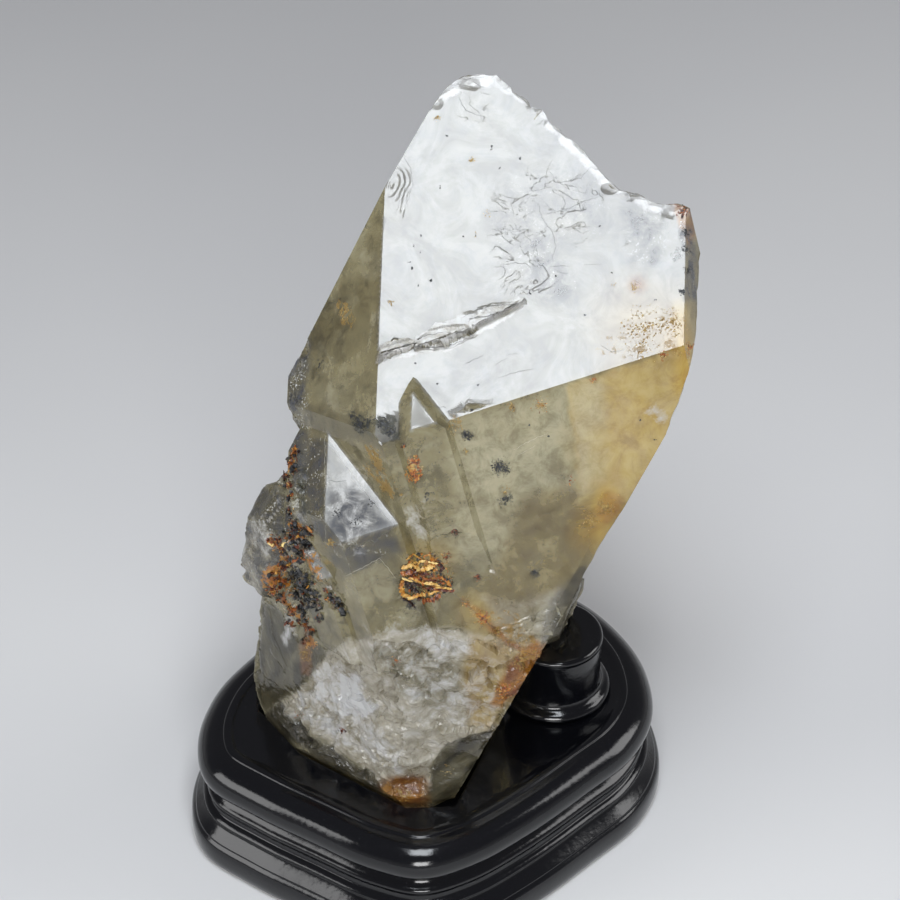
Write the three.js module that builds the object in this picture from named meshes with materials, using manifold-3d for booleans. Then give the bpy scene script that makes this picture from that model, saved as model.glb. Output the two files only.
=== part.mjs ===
// A cluster of smoky Himalayan quartz standing in the socket of a black lacquered, carved wooden stand.
// Millimetres, +Z up. The stand's underside is at z = 0 and the origin is under the middle of the object.
import * as THREE from 'three';
import { ConvexGeometry } from 'three/addons/geometries/ConvexGeometry.js';
import { mergeVertices } from 'three/addons/utils/BufferGeometryUtils.js';
import Module from 'manifold-3d';

const wasm = await Module();
wasm.setup();

// Quartz habit. A tip face leans this far from the long axis, on every quartz crystal there is.
const TIP_FACE_ANGLE = 51.79;
// The long axis of the whole parallel growth leans towards LEAN_TOWARDS, and is turned by TWIST on itself.
const LEAN = 17.7;
const LEAN_TOWARDS = 147.1;
const TWIST = 134.2;
// Faces are given by their distance from this point, near the middle of the main crystal.
const HEART = new THREE.Vector3(10, 5, 105);

// Stand: a moulded board with a socket, on a flared plinth, and a turned post under the overhang.
const BOARD_TOP = 34.5;
const BOARD_UNDER = 23.2;
const SOCKET_DEPTH = 4.5;
const SOCKET_CLEARANCE = 0.9;
const FIT_GAP = 0.3;
const POST_AT = new THREE.Vector2(36, 14);
const POST_RADIUS = 13.2;
const POST_HEIGHT = 20;
// The level at which the overhang rests on the post.
const REST_LEVEL = BOARD_TOP + POST_HEIGHT + FIT_GAP;

// How far the broken surfaces stray from flat.
const ROUGHNESS_FINE = 0.5;
const ROUGHNESS_COARSE = 1.3;
const EDGE_RAGGEDNESS = 1.5;

const rad = THREE.MathUtils.degToRad;

const growth = new THREE.Matrix4()
  .makeRotationZ(rad(LEAN_TOWARDS))
  .multiply(new THREE.Matrix4().makeRotationY(rad(LEAN)))
  .multiply(new THREE.Matrix4().makeRotationZ(rad(TWIST)));

// Outward normals of the three kinds of quartz face, by their azimuth round the long axis.
function normalOf(kind, azimuth) {
  const tilt = { prism: 90, tip: TIP_FACE_ANGLE, foot: 180 - TIP_FACE_ANGLE }[kind];
  const around = rad(azimuth);
  return new THREE.Vector3(
    Math.sin(rad(tilt)) * Math.cos(around),
    Math.sin(rad(tilt)) * Math.sin(around),
    Math.cos(rad(tilt)),
  ).transformDirection(growth);
}

// A plane is [normal, offset]: points inside have normal . point <= offset.
function face(kind, azimuth, distance) {
  const normal = normalOf(kind, azimuth);
  return [normal, distance + normal.dot(HEART)];
}

function cut(normal, through) {
  const unit = new THREE.Vector3(...normal).normalize();
  return [unit, unit.dot(new THREE.Vector3(...through))];
}

// The corners where three planes meet inside all the others.
function cornersOf(planes) {
  const corners = [];
  const across = new THREE.Vector3();
  for (let i = 0; i < planes.length; i++) {
    for (let j = i + 1; j < planes.length; j++) {
      for (let k = j + 1; k < planes.length; k++) {
        const [a, da] = planes[i];
        const [b, db] = planes[j];
        const [c, dc] = planes[k];
        const volume = a.dot(across.crossVectors(b, c));
        if (Math.abs(volume) < 1e-6) continue;
        const corner = new THREE.Vector3()
          .addScaledVector(across.crossVectors(b, c), da / volume)
          .addScaledVector(across.crossVectors(c, a), db / volume)
          .addScaledVector(across.crossVectors(a, b), dc / volume);
        const outside = planes.some(([normal, offset]) => normal.dot(corner) > offset + 1e-5);
        if (!outside && !corners.some((other) => other.distanceTo(corner) < 1e-3)) corners.push(corner);
      }
    }
  }
  return corners;
}

function solidOf(geometry) {
  const bare = geometry.clone();
  bare.deleteAttribute('normal');
  bare.deleteAttribute('uv');
  const merged = mergeVertices(bare, 1e-4);
  return new wasm.Manifold(new wasm.Mesh({
    numProp: 3,
    vertProperties: new Float32Array(merged.attributes.position.array),
    triVerts: new Uint32Array(merged.index.array),
  }));
}

function geometryOf(solid) {
  const mesh = solid.getMesh();
  const geometry = new THREE.BufferGeometry();
  geometry.setAttribute('position', new THREE.BufferAttribute(new Float32Array(mesh.vertProperties), 3));
  geometry.setIndex(new THREE.BufferAttribute(new Uint32Array(mesh.triVerts), 1));
  return geometry;
}

const polyhedron = (planes) => solidOf(new ConvexGeometry(cornersOf(planes)));

// Seeded noise between -1 and 1, smooth over one unit.
function noise(x, y, z) {
  const hash = (i, j, k) => {
    const h = Math.sin(i * 127.1 + j * 311.7 + k * 74.7) * 43758.5453;
    return 2 * (h - Math.floor(h)) - 1;
  };
  const ease = (t) => t * t * (3 - 2 * t);
  const [i, j, k] = [Math.floor(x), Math.floor(y), Math.floor(z)];
  const [u, v, w] = [ease(x - i), ease(y - j), ease(z - k)];
  const mix = THREE.MathUtils.lerp;
  const row = (dj, dk) => mix(hash(i, j + dj, k + dk), hash(i + 1, j + dj, k + dk), u);
  return mix(mix(row(0, 0), row(1, 0), v), mix(row(0, 1), row(1, 1), v), w);
}

// What a break removes: a block whose inner side is a rough, slightly shell-shaped fracture.
// It takes everything beyond the plane at `at` that faces `facing`, over a square of `across`
// with ragged edges.
function fracture({ at, facing, across, cells = 14, hollow = 0, coarse = ROUGHNESS_COARSE, depth = 60 }) {
  const out = new THREE.Vector3(...facing).normalize();
  const side = new THREE.Vector3().crossVectors(Math.abs(out.z) > 0.9 ? new THREE.Vector3(0, 1, 0)
    : new THREE.Vector3(0, 0, 1), out).normalize();
  const along = new THREE.Vector3().crossVectors(out, side);
  const centre = new THREE.Vector3(...at);
  const block = new THREE.BoxGeometry(across, across, depth, cells, cells, 1);
  block.translate(0, 0, depth / 2);
  const spots = block.attributes.position;
  for (let i = 0; i < spots.count; i++) {
    const [u, v, w] = [spots.getX(i), spots.getY(i), spots.getZ(i)];
    const spot = centre.clone().addScaledVector(side, u).addScaledVector(along, v);
    let rise = w;
    if (w < depth / 2) {
      const ring = Math.min(1, Math.hypot(u, v) / (across / 2));
      rise -= hollow * (1 - ring * ring);
      rise += coarse * noise(spot.x / 9, spot.y / 9, spot.z / 9);
      rise += ROUGHNESS_FINE * noise(spot.x / 3.5, spot.y / 3.5, spot.z / 3.5);
    }
    const [ragged, torn] = [noise(v / 6, w, across), noise(u / 6, w, across)];
    spot.addScaledVector(side, EDGE_RAGGEDNESS * ragged);
    spot.addScaledVector(along, EDGE_RAGGEDNESS * torn);
    spot.addScaledVector(out, rise);
    spots.setXYZ(i, spot.x, spot.y, spot.z);
  }
  return solidOf(block);
}

// A glassy broken lump: an ellipsoid seen as many small conchoidal facets.
function lump({ at, radii, facets, turn = 0, wear = 0.1 }) {
  const planes = [];
  const golden = Math.PI * (3 - Math.sqrt(5));
  for (let i = 0; i < facets; i++) {
    const z = 1 - (2 * i + 1) / facets;
    const r = Math.sqrt(1 - z * z);
    const normal = new THREE.Vector3(r * Math.cos(golden * i + turn), r * Math.sin(golden * i + turn), z);
    const reach = Math.hypot(normal.x * radii[0], normal.y * radii[1], normal.z * radii[2]);
    const worn = 1 + wear * noise(3.1 * i, 1.7 * facets, turn);
    planes.push([normal, reach * worn + normal.dot(new THREE.Vector3(...at))]);
  }
  return polyhedron(planes);
}

// The main crystal: a broad point whose large tip face looks up at the viewer.
function mainCrystal() {
  return polyhedron([
    face('tip', 0, 52.8),
    face('tip', -60, 50.5),
    face('tip', -120, 53),
    face('tip', 120, 96.5),
    face('tip', 180, 84),
    face('prism', 0, 33.8),
    face('prism', 60, 69.7),
    face('prism', 120, 58),
    face('prism', 180, 27.1),
    face('prism', -120, 28.8),
    face('prism', -60, 29.5),
    face('foot', 60, 35.5),
    face('foot', 120, 45.5),
    face('foot', 180, 70.3),
    cut([0.1, 0.06, -1], [24, 12, REST_LEVEL]),
  ]);
}

// A small point grown on the front of the main crystal, in the same direction.
function frontPoint() {
  return polyhedron([
    face('tip', 0, 56.4),
    face('tip', 60, 41.1),
    face('tip', -60, 46.7),
    face('tip', -120, 23.9),
    face('tip', 120, 20.3),
    face('prism', 0, 36.7),
    face('prism', 60, 19),
    face('prism', -60, 26.9),
    face('prism', 180, -20),
    cut([0.12, -0.97, -0.02], [0, -29.5, 109]),
    cut([0, 0, -1], [0, 0, 101]),
  ]);
}

// The second crystal, lower on the left, whose tip face shows as a bright triangle.
function leftCrystal() {
  return polyhedron([
    face('tip', 0, 34.9),
    face('tip', -60, 47.2),
    face('tip', -120, 44),
    face('prism', 0, 30.2),
    face('prism', 60, 4),
    face('prism', 180, 10),
    face('prism', -120, 30),
    face('prism', -60, 42),
    face('foot', 60, 30),
    cut([0, 0, -1], [0, 0, 55]),
  ]);
}

// A third, still lower step of the same growth.
function lowerCrystal() {
  return polyhedron([
    face('tip', 0, 19.8),
    face('tip', -60, 44),
    face('tip', -120, 40),
    face('prism', 0, 21.3),
    face('prism', 60, 4),
    face('prism', 180, 10),
    face('prism', -120, 33),
    face('prism', -60, 44),
    face('foot', 60, 28),
    cut([0, 0, -1], [0, 0, 45]),
  ]);
}

// The sides of the broken mass that all the crystals grow from, `grow` larger all round.
function rootSides(grow = 0) {
  return [
    cut([0.04, -1, -0.04], [6, -31.6, 50]),
    cut([-0.568, -0.818, 0.081], [-37.4, -10.4, 40]),
    cut([-0.53, -0.76, -0.37], [-24.9, -16.8, BOARD_TOP]),
    cut([0.1, -0.93, -0.35], [2, -31.3, BOARD_TOP]),
    cut([-0.8, -0.58, 0.12], [-30.4, -8, 66.6]),
    cut([-0.993, -0.05, 0.09], [-45.4, 5, 44.8]),
    cut([-0.86, -0.1, -0.5], [-44.4, 3.1, BOARD_TOP]),
    cut([-0.35, 0.94, -0.15], [-20, 29, 45]),
    cut([0.94, 0.34, 0], [19.4, 12, 45]),
    face('foot', 60, 35.5),
  ].map(([normal, offset]) => [normal, offset + grow]);
}

const ROOT_BREAKS = [
  { at: [-20, 27, 60], facing: [-0.35, 0.94, 0.12], across: 110, cells: 20, hollow: 1.5 },
  { at: [-44.4, 6, 60], facing: [-0.98, 0.05, 0.15], across: 90, cells: 16, coarse: 0.7 },
  { at: [-24, 12, 88], facing: [0.08, 0.5, 0.86], across: 110, cells: 18, coarse: 2.2 },
  { at: [18.6, 10, 45], facing: [0.94, 0.34, 0], across: 62, cells: 14, coarse: 0.9 },
];

function rootMass() {
  const block = polyhedron([
    ...rootSides(),
    cut([-0.3, -0.2, 0.93], [-30, 0, 86]),
    cut([0, 0, -1], [0, 0, BOARD_TOP - SOCKET_DEPTH + FIT_GAP]),
  ]);
  return ROOT_BREAKS.reduce((left, broken) => left.subtract(fracture(broken)), block);
}

// Everything of the cluster but its root stays above the board.
function aboveBoard(solid) {
  const air = new THREE.BoxGeometry(200, 200, 250).translate(0, 0, 125 + BOARD_TOP + FIT_GAP);
  return solid.intersect(solidOf(air));
}

// A splintered step in the large tip face: a straight drop that runs from one point to
// the other, with a floor that rises back to the face over `width`.
function ledge({ from, to, width, drop }) {
  const [normal, offset] = face('tip', 0, 52.8);
  const onFace = (point) => {
    const spot = new THREE.Vector3(...point);
    return spot.addScaledVector(normal, offset - normal.dot(spot));
  };
  const [a, b] = [onFace(from), onFace(to)];
  const run = b.clone().sub(a).normalize();
  const aside = new THREE.Vector3().crossVectors(normal, run).normalize().multiplyScalar(width);
  const middle = a.clone().lerp(b, 0.45);
  const deepest = middle.clone().addScaledVector(normal, -drop);
  const rim = [a, b, middle.clone().add(aside)];
  const above = rim.map((corner) => corner.clone().addScaledVector(normal, 2));
  return solidOf(new ConvexGeometry([deepest, ...rim, ...above]));
}

const LEDGES = [
  { from: [-10.2, -8, 163], to: [0.8, -5.8, 165], width: 3.2, drop: 1.1 },
  { from: [-1, -6.6, 164], to: [12.6, -3.2, 167.8], width: 3.6, drop: 1.2 },
  { from: [10, -4.4, 167], to: [24.6, 1, 172], width: 2.6, drop: 0.9 },
  { from: [8, -19, 154], to: [17, -17, 155.4], width: 1.6, drop: 0.6 },
];

// Where the cluster is broken. The long edge behind the large tip face is bitten off in two
// straight pieces, and the right side, the left shoulder and the whole foot are rough.
const BREAKS = [
  { at: [66.6, 8, 165], facing: [0.99, 0, -0.145], across: 110, cells: 20 },
  { at: [-34.8, 8, 143], facing: [-0.93, -0.28, 0.16], across: 38, coarse: 0.9 },
  { at: [1, -30.9, 62], facing: [0.04, -1, -0.04], across: 70, cells: 20, hollow: 0.6 },
  { at: [-24, -17.5, 55], facing: [-0.568, -0.818, 0.081], across: 50, cells: 18, hollow: 0.8 },
  { at: [14, -26, 43], facing: [0.47, -0.84, -0.27], across: 28, coarse: 0.3, hollow: -1.5 },
  { at: [8, 43, 207.3], facing: [-0.47, 0.35, 0.81], across: 40, cells: 12, coarse: 0.6 },
  { at: [2, 36, 78], facing: [-0.25, 0.8, -0.54], across: 56, cells: 16, hollow: 2 },
  { at: [-14, 34, 128], facing: [-0.42, 0.9, -0.1], across: 34, cells: 12, hollow: 2 },
];

function bittenEdge() {
  const [across, cells] = [110, 26];
  const slope = { at: [36, 31, 198.6], facing: [0.7, 0.58, 0.42], across, cells, coarse: 0.9 };
  const shelf = { at: [56, 19, 188.7], facing: [0.17, 0.25, 0.95], across, cells, coarse: 0.6 };
  return fracture(slope).intersect(fracture(shelf));
}

function cluster() {
  let stone = mainCrystal();
  for (const grown of [
    frontPoint(),
    leftCrystal(),
    lowerCrystal(),
    lump({ at: [-32, 7, 95.5], radii: [14, 10, 17.5], facets: 26, wear: 0.16 }),
    lump({ at: [-38, 6, 88], radii: [8, 9, 10], facets: 18, turn: 1, wear: 0.16 }),
    lump({ at: [31, 16, 64], radii: [13, 13, 10], facets: 22, turn: 2 }),
  ]) stone = stone.add(grown);
  const overPost = new THREE.CylinderGeometry(POST_RADIUS + 3, POST_RADIUS + 3, 40, 24)
    .rotateX(Math.PI / 2)
    .translate(POST_AT.x, POST_AT.y, REST_LEVEL - 20);
  stone = aboveBoard(stone).subtract(solidOf(overPost));
  stone = stone.add(rootMass());
  for (const broken of BREAKS) stone = stone.subtract(fracture(broken));
  stone = stone.subtract(bittenEdge());
  for (const step of LEDGES) stone = stone.subtract(ledge(step));
  return stone;
}

// The board's outline from above: a rounded, slightly lopsided shape that follows the stone.
const OUTLINE = new THREE.CatmullRomCurve3([
  [0, -50.5], [14, -45.4], [29, -34.4], [45, -19.5], [57.5, -6.5], [63.6, 8], [62.6, 25.5],
  [56, 40.5], [44.5, 54.1], [24, 64], [-4, 66.5], [-30, 54], [-48.9, 30.6], [-58.5, 14.9],
  [-62, -2.7], [-58.6, -16.8], [-46, -27.3], [-30, -37.4], [-14, -46.7],
].map(([x, y]) => new THREE.Vector3(x, y, 0)), true);
const OUTLINE_STEPS = 64;

// Points of the outline moved outwards by `offset`.
function ring(offset) {
  const points = [];
  for (let i = 0; i < OUTLINE_STEPS; i++) {
    const t = i / OUTLINE_STEPS;
    const along = OUTLINE.getTangentAt(t);
    const spot = OUTLINE.getPointAt(t);
    points.push(spot.add(new THREE.Vector3(along.y, -along.x, 0).multiplyScalar(offset)));
  }
  return points;
}

// A solid whose edge moulding is the profile, a list of [offset, height] from the bottom up.
function moulded(profile) {
  const middle = new THREE.Vector2(2, 6);
  const spots = [];
  const faces = [];
  for (const [offset, height] of profile) {
    for (const p of ring(offset)) spots.push(p.x, p.y, height);
  }
  const last = profile.length - 1;
  for (let row = 0; row < last; row++) {
    for (let i = 0; i < OUTLINE_STEPS; i++) {
      const j = (i + 1) % OUTLINE_STEPS;
      const [a, b] = [row * OUTLINE_STEPS + i, row * OUTLINE_STEPS + j];
      faces.push(a, b, b + OUTLINE_STEPS, a, b + OUTLINE_STEPS, a + OUTLINE_STEPS);
    }
  }
  const under = spots.length / 3;
  spots.push(middle.x, middle.y, profile[0][1], middle.x, middle.y, profile[last][1]);
  for (let i = 0; i < OUTLINE_STEPS; i++) {
    const j = (i + 1) % OUTLINE_STEPS;
    faces.push(under, j, i, under + 1, last * OUTLINE_STEPS + i, last * OUTLINE_STEPS + j);
  }
  const geometry = new THREE.BufferGeometry();
  geometry.setAttribute('position', new THREE.Float32BufferAttribute(spots, 3));
  geometry.setIndex(faces);
  return geometry;
}

// Board: flat on top inside a fine raised line, a wide round shoulder, a tucked-in underside.
const SHOULDER = 7.2;
const SHOULDER_DROP = 6;
const boardProfile = [[-3.6, BOARD_UNDER], [-1.4, BOARD_UNDER + 1.2], [-0.3, BOARD_UNDER + 3]];
for (let step = 0; step <= 5; step++) {
  const turn = rad(18 * step);
  boardProfile.push([
    SHOULDER * (Math.cos(turn) - 1),
    BOARD_TOP - 0.5 - SHOULDER_DROP * (1 - Math.sin(turn)),
  ]);
}
boardProfile.push([-7.9, BOARD_TOP], [-9.2, BOARD_TOP]);

// Plinth: two fine beads under the board, a hollow, then the wide rounded base roll.
const plinthProfile = [
  [0.6, 0], [2.3, 0.9], [3, 3], [3, 6], [2.2, 8.4], [0.6, 10], [-0.9, 11.4], [-1.6, 12.8],
  [-0.9, 13.6], [-1.1, 14.5], [-2.4, 15.4], [-2.8, 17], [-2, 18.2], [-2, 19.2], [-3.2, 20.2],
  [-4.2, 21.4], [-4.4, BOARD_UNDER - FIT_GAP],
];

function board() {
  const socket = polyhedron([
    ...rootSides(SOCKET_CLEARANCE),
    cut([0, 0, -1], [0, 0, BOARD_TOP - SOCKET_DEPTH]),
    cut([0, 0, 1], [0, 0, BOARD_TOP + 5]),
  ]);
  return solidOf(moulded(boardProfile)).subtract(socket);
}

// The post: a turned cylinder with a soft rim and a spread ring at its foot.
function post() {
  const top = BOARD_TOP + POST_HEIGHT;
  const foot = BOARD_TOP + FIT_GAP;
  const profile = [
    [0, foot], [15.6, foot], [15.9, foot + 0.9], [15.2, foot + 2], [13.9, foot + 2.8],
    [POST_RADIUS - 0.1, foot + 4.2], [POST_RADIUS - 0.3, foot + 9], [POST_RADIUS, top - 1.2],
    [POST_RADIUS - 0.4, top - 0.4], [POST_RADIUS - 1.3, top], [0, top],
  ];
  return new THREE.LatheGeometry(profile.map(([r, z]) => new THREE.Vector2(r, z)), 40)
    .rotateX(Math.PI / 2)
    .translate(POST_AT.x, POST_AT.y, 0);
}

const lacquer = () => new THREE.MeshStandardMaterial({ color: 0x0b0b0f, roughness: 0.16, metalness: 0 });
const quartz = new THREE.MeshPhysicalMaterial({
  color: 0xb9b49c,
  roughness: 0.12,
  metalness: 0,
  transmission: 0.7,
  ior: 1.544,
});

const group = new THREE.Group();
function place(name, geometry, material) {
  const mesh = new THREE.Mesh(geometry, material);
  mesh.name = name;
  group.add(mesh);
}

place('stand_plinth', moulded(plinthProfile), lacquer());
place('stand_board', geometryOf(board()), lacquer());
place('support_post', post(), lacquer());
place('quartz_cluster', geometryOf(cluster()), quartz);

// The origin goes under the middle of the whole object.
const middle = new THREE.Box3().setFromObject(group).getCenter(new THREE.Vector3());
group.position.set(-middle.x, -middle.y, 0);

export default group;
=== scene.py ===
"""Himalayan quartz cluster on its black lacquered stand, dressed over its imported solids.

The crystal is a finer copy of its solid: natural faces keep their lattice planes, broken
surfaces get real grain, and stains, clouds and crusts sit where the photograph shows them.
Lengths here are in millimetres until a mesh is made.
"""
import math
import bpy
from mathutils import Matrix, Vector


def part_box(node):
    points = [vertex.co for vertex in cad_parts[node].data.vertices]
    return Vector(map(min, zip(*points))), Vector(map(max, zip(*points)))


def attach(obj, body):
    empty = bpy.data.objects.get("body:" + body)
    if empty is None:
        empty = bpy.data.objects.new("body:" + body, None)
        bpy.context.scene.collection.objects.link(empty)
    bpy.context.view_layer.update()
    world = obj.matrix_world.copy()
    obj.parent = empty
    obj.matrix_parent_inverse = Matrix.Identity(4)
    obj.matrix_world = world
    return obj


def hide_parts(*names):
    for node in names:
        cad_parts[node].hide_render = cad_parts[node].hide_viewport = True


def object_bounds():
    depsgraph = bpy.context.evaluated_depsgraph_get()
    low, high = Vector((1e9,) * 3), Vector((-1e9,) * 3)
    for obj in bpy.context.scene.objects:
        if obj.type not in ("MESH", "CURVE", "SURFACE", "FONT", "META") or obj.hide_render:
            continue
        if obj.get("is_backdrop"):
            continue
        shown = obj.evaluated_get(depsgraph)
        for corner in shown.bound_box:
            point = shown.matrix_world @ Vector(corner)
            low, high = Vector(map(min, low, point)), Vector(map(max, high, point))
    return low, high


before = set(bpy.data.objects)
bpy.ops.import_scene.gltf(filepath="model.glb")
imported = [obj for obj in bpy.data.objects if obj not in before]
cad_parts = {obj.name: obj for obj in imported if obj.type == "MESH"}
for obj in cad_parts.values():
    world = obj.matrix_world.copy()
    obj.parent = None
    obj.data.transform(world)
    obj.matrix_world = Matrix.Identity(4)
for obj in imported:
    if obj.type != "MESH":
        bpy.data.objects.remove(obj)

from types import SimpleNamespace

import bmesh
import bpy
import numpy as np
from mathutils import Vector
from mathutils.bvhtree import BVHTree

cad_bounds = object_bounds()
MM = 0.001

# The photograph's view
IMAGE = 900
LENS, SENSOR = 96, 36
ELEVATION = math.radians(38)
DISTANCE = 600
LOOK_AT = np.array([5.55, -8.31, 128.4])
FORWARD = np.array([0, math.cos(ELEVATION), -math.sin(ELEVATION)])
RIGHT = np.array([1.0, 0, 0])
UP = np.array([0, math.sin(ELEVATION), math.cos(ELEVATION)])
EYE = LOOK_AT - DISTANCE * FORWARD


def sight(px, py):
    """Direction from the eye through a pixel of the photograph."""
    focal = LENS / SENSOR * IMAGE
    way = FORWARD * focal + RIGHT * (px - IMAGE / 2) - UP * (py - IMAGE / 2)
    return way / np.linalg.norm(way)


def pixels_of(points):
    """Where points fall in the photograph."""
    way = points - EYE
    scale = LENS / SENSOR * IMAGE / (way @ FORWARD)
    return IMAGE / 2 + scale * (way @ RIGHT), IMAGE / 2 - scale * (way @ UP)


def depth_inside(px, py, outline):
    """Distance in pixels to an outline, positive inside it and negative outside."""
    corners = np.array(outline, float)
    nearest = np.full(np.shape(px), 1e9)
    odd = np.zeros(np.shape(px), bool)
    for (ax, ay), (bx, by) in zip(corners, np.roll(corners, -1, axis=0)):
        dx, dy = bx - ax, by - ay
        t = np.clip(((px - ax) * dx + (py - ay) * dy) / (dx * dx + dy * dy), 0, 1)
        nearest = np.minimum(nearest, np.hypot(px - ax - t * dx, py - ay - t * dy))
        if dy:
            odd ^= ((ay > py) != (by > py)) & (px < ax + (py - ay) * dx / dy)
    return np.where(odd, nearest, -nearest)


def make_camera():
    data = bpy.data.cameras.new("photo_view")
    data.lens, data.sensor_width = LENS, SENSOR
    data.clip_start, data.clip_end = 0.01, 20
    camera = bpy.data.objects.new("photo_view", data)
    camera.location = Vector(EYE * MM)
    camera.rotation_euler = (math.pi / 2 - ELEVATION, 0, 0)
    bpy.context.scene.collection.objects.link(camera)
    bpy.context.scene.camera = camera


# Noise
def ease(t):
    return t * t * (3 - 2 * t)


def step(low, high, value):
    return ease(np.clip((value - low) / (high - low), 0, 1))


def hashed(cells, seed):
    """A number from 0 to 1 for each whole-numbered cell."""
    n = cells[..., 0] * 73856093 ^ cells[..., 1] * 19349663 ^ cells[..., 2] * 83492791 ^ seed * 2654435
    n = (n ^ (n >> 13)) * 1274126177 & 0xFFFFFFFF
    n = (n ^ (n >> 15)) * 2246822519 & 0xFFFFFFFF
    return (n ^ (n >> 16)) / 0xFFFFFFFF


def noise(points, size, seed=0):
    """Smooth noise from -1 to 1 that changes over `size`."""
    spots = points / size
    cell = np.floor(spots).astype(np.int64)
    u = ease(spots - cell)
    total = 0
    for corner in np.ndindex(2, 2, 2):
        c = np.array(corner)
        weight = np.prod(np.where(c, u, 1 - u), axis=-1)
        total = total + weight * hashed(cell + c, seed)
    return 2 * total - 1


def nearest_site(points, size, seed, own):
    """Distance to the nearest of scattered sites, and what `own` says of that site."""
    spots = points / size
    cell = np.floor(spots).astype(np.int64)
    best = np.full(len(points), 9.0)
    value = np.zeros(len(points))
    for shift in np.ndindex(3, 3, 3):
        c = cell + np.array(shift) - 1
        away = spots - (c + random_vector(c, seed))
        reach = np.linalg.norm(away, axis=1)
        nearer = reach < best
        best = np.where(nearer, reach, best)
        value = np.where(nearer, own(c, away), value)
    return best, value


def random_vector(cells, seed):
    return np.stack([hashed(cells, seed + k) for k in range(3)], axis=-1)


def facets(points, size, seed):
    """Distance to the nearest of scattered points, and a number that is its own."""
    return nearest_site(points, size, seed, lambda c, away: hashed(c, seed + 7))


def hackle(points, size, seed):
    """Height of a surface broken into flat splinters, each tilted its own way."""
    def tilted(c, away):
        tilt = 2 * random_vector(c, seed + 11) - 1
        return (away * tilt).sum(axis=1) + 0.5 * (hashed(c, seed + 21) - 0.5)

    return nearest_site(points, size, seed, tilted)[1] * size


# Quartz lattice, in degrees. The tip face angle is the mineral's own. The lean and the twist
# were fitted to the edges in the photograph.
TIP_FACE_ANGLE = 51.79
LEAN, LEAN_TOWARDS, TWIST = 17.7, 147.1, 134.2


def turn_z(degrees):
    a = math.radians(degrees)
    return np.array([[math.cos(a), -math.sin(a), 0], [math.sin(a), math.cos(a), 0], [0, 0, 1]])


def turn_y(degrees):
    a = math.radians(degrees)
    return np.array([[math.cos(a), 0, math.sin(a)], [0, 1, 0], [-math.sin(a), 0, math.cos(a)]])


GROWTH = turn_z(LEAN_TOWARDS) @ turn_y(LEAN) @ turn_z(TWIST)


def lattice():
    """The outward normals that natural faces may have: six prism, tip and foot faces."""
    normals = []
    for tilt in (90, TIP_FACE_ANGLE, 180 - TIP_FACE_ANGLE):
        for azimuth in range(0, 360, 60):
            t, a = math.radians(tilt), math.radians(azimuth)
            local = [math.sin(t) * math.cos(a), math.sin(t) * math.sin(a), math.cos(t)]
            normals.append(GROWTH @ np.array(local))
    return np.array(normals)


LATTICE = lattice()
BRIGHT = 6
BRIGHT_FACE = LATTICE[BRIGHT]


# Mesh tools
SPLIT_ROUNDS = 18
# A side is split when it has at least this share of the longest side's length.
LEADING_EDGE = 0.8


def cad_triangles(name):
    """A CAD node's points (mm) and triangles, welded and with its flat faces cleaned up."""
    work = bmesh.new()
    work.from_mesh(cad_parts[name].data)
    bmesh.ops.remove_doubles(work, verts=work.verts, dist=1e-5)
    bmesh.ops.dissolve_degenerate(work, edges=work.edges, dist=1e-5)
    bmesh.ops.dissolve_limit(work, angle_limit=math.radians(0.25), verts=work.verts, edges=work.edges)
    bmesh.ops.triangulate(work, faces=work.faces, quad_method="BEAUTY", ngon_method="BEAUTY")
    points = np.array([v.co for v in work.verts]) / MM
    faces = np.array([[v.index for v in f.verts] for f in work.faces])
    work.free()
    return points, faces


def face_crosses(points, faces):
    """Each triangle's outward direction, as long as twice its area."""
    a, b, c = (points[faces[:, k]] for k in range(3))
    return np.cross(b - a, c - a)


def unit_rows(rows):
    return rows / np.maximum(np.linalg.norm(rows, axis=1, keepdims=True), 1e-12)


def normals_of(points, faces):
    return unit_rows(face_crosses(points, faces))


def point_normals(points, faces):
    crosses = face_crosses(points, faces)
    total = np.zeros_like(points)
    for k in range(3):
        np.add.at(total, faces[:, k], crosses)
    return unit_rows(total)


def edges_of(faces):
    """Every edge once, as a pair of points, and which edge each side of each face is."""
    pairs = np.vstack([faces[:, [0, 1]], faces[:, [1, 2]], faces[:, [2, 0]]])
    count = faces.max() + 1
    keys, place = np.unique(pairs.min(axis=1) * count + pairs.max(axis=1), return_inverse=True)
    return np.column_stack([keys // count, keys % count]), place


def split_long(points, faces, tags, limit):
    """Halves edges longer than limit(middles, tags of the face), a face's long sides first."""
    for _ in range(SPLIT_ROUNDS):
        edges, place = edges_of(faces)
        place = place.reshape(3, -1)
        middles = (points[edges[:, 0]] + points[edges[:, 1]]) / 2
        allowed = np.full(len(edges), 1e9)
        for k in range(3):
            np.minimum.at(allowed, place[k], limit(middles[place[k]], tags))
        length = np.linalg.norm(points[edges[:, 0]] - points[edges[:, 1]], axis=1)
        sides = length[place]
        leading = sides > LEADING_EDGE * sides.max(axis=0)
        long = np.zeros(len(edges), bool)
        long[place[leading & (length > allowed)[place]]] = True
        if not long.any():
            break
        new = np.full(len(edges), -1)
        new[long] = len(points) + np.arange(long.sum())
        points = np.vstack([points, middles[long]])
        faces, tags = split_faces(points, faces, new[place].T, tags)
    return points, faces, tags


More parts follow.
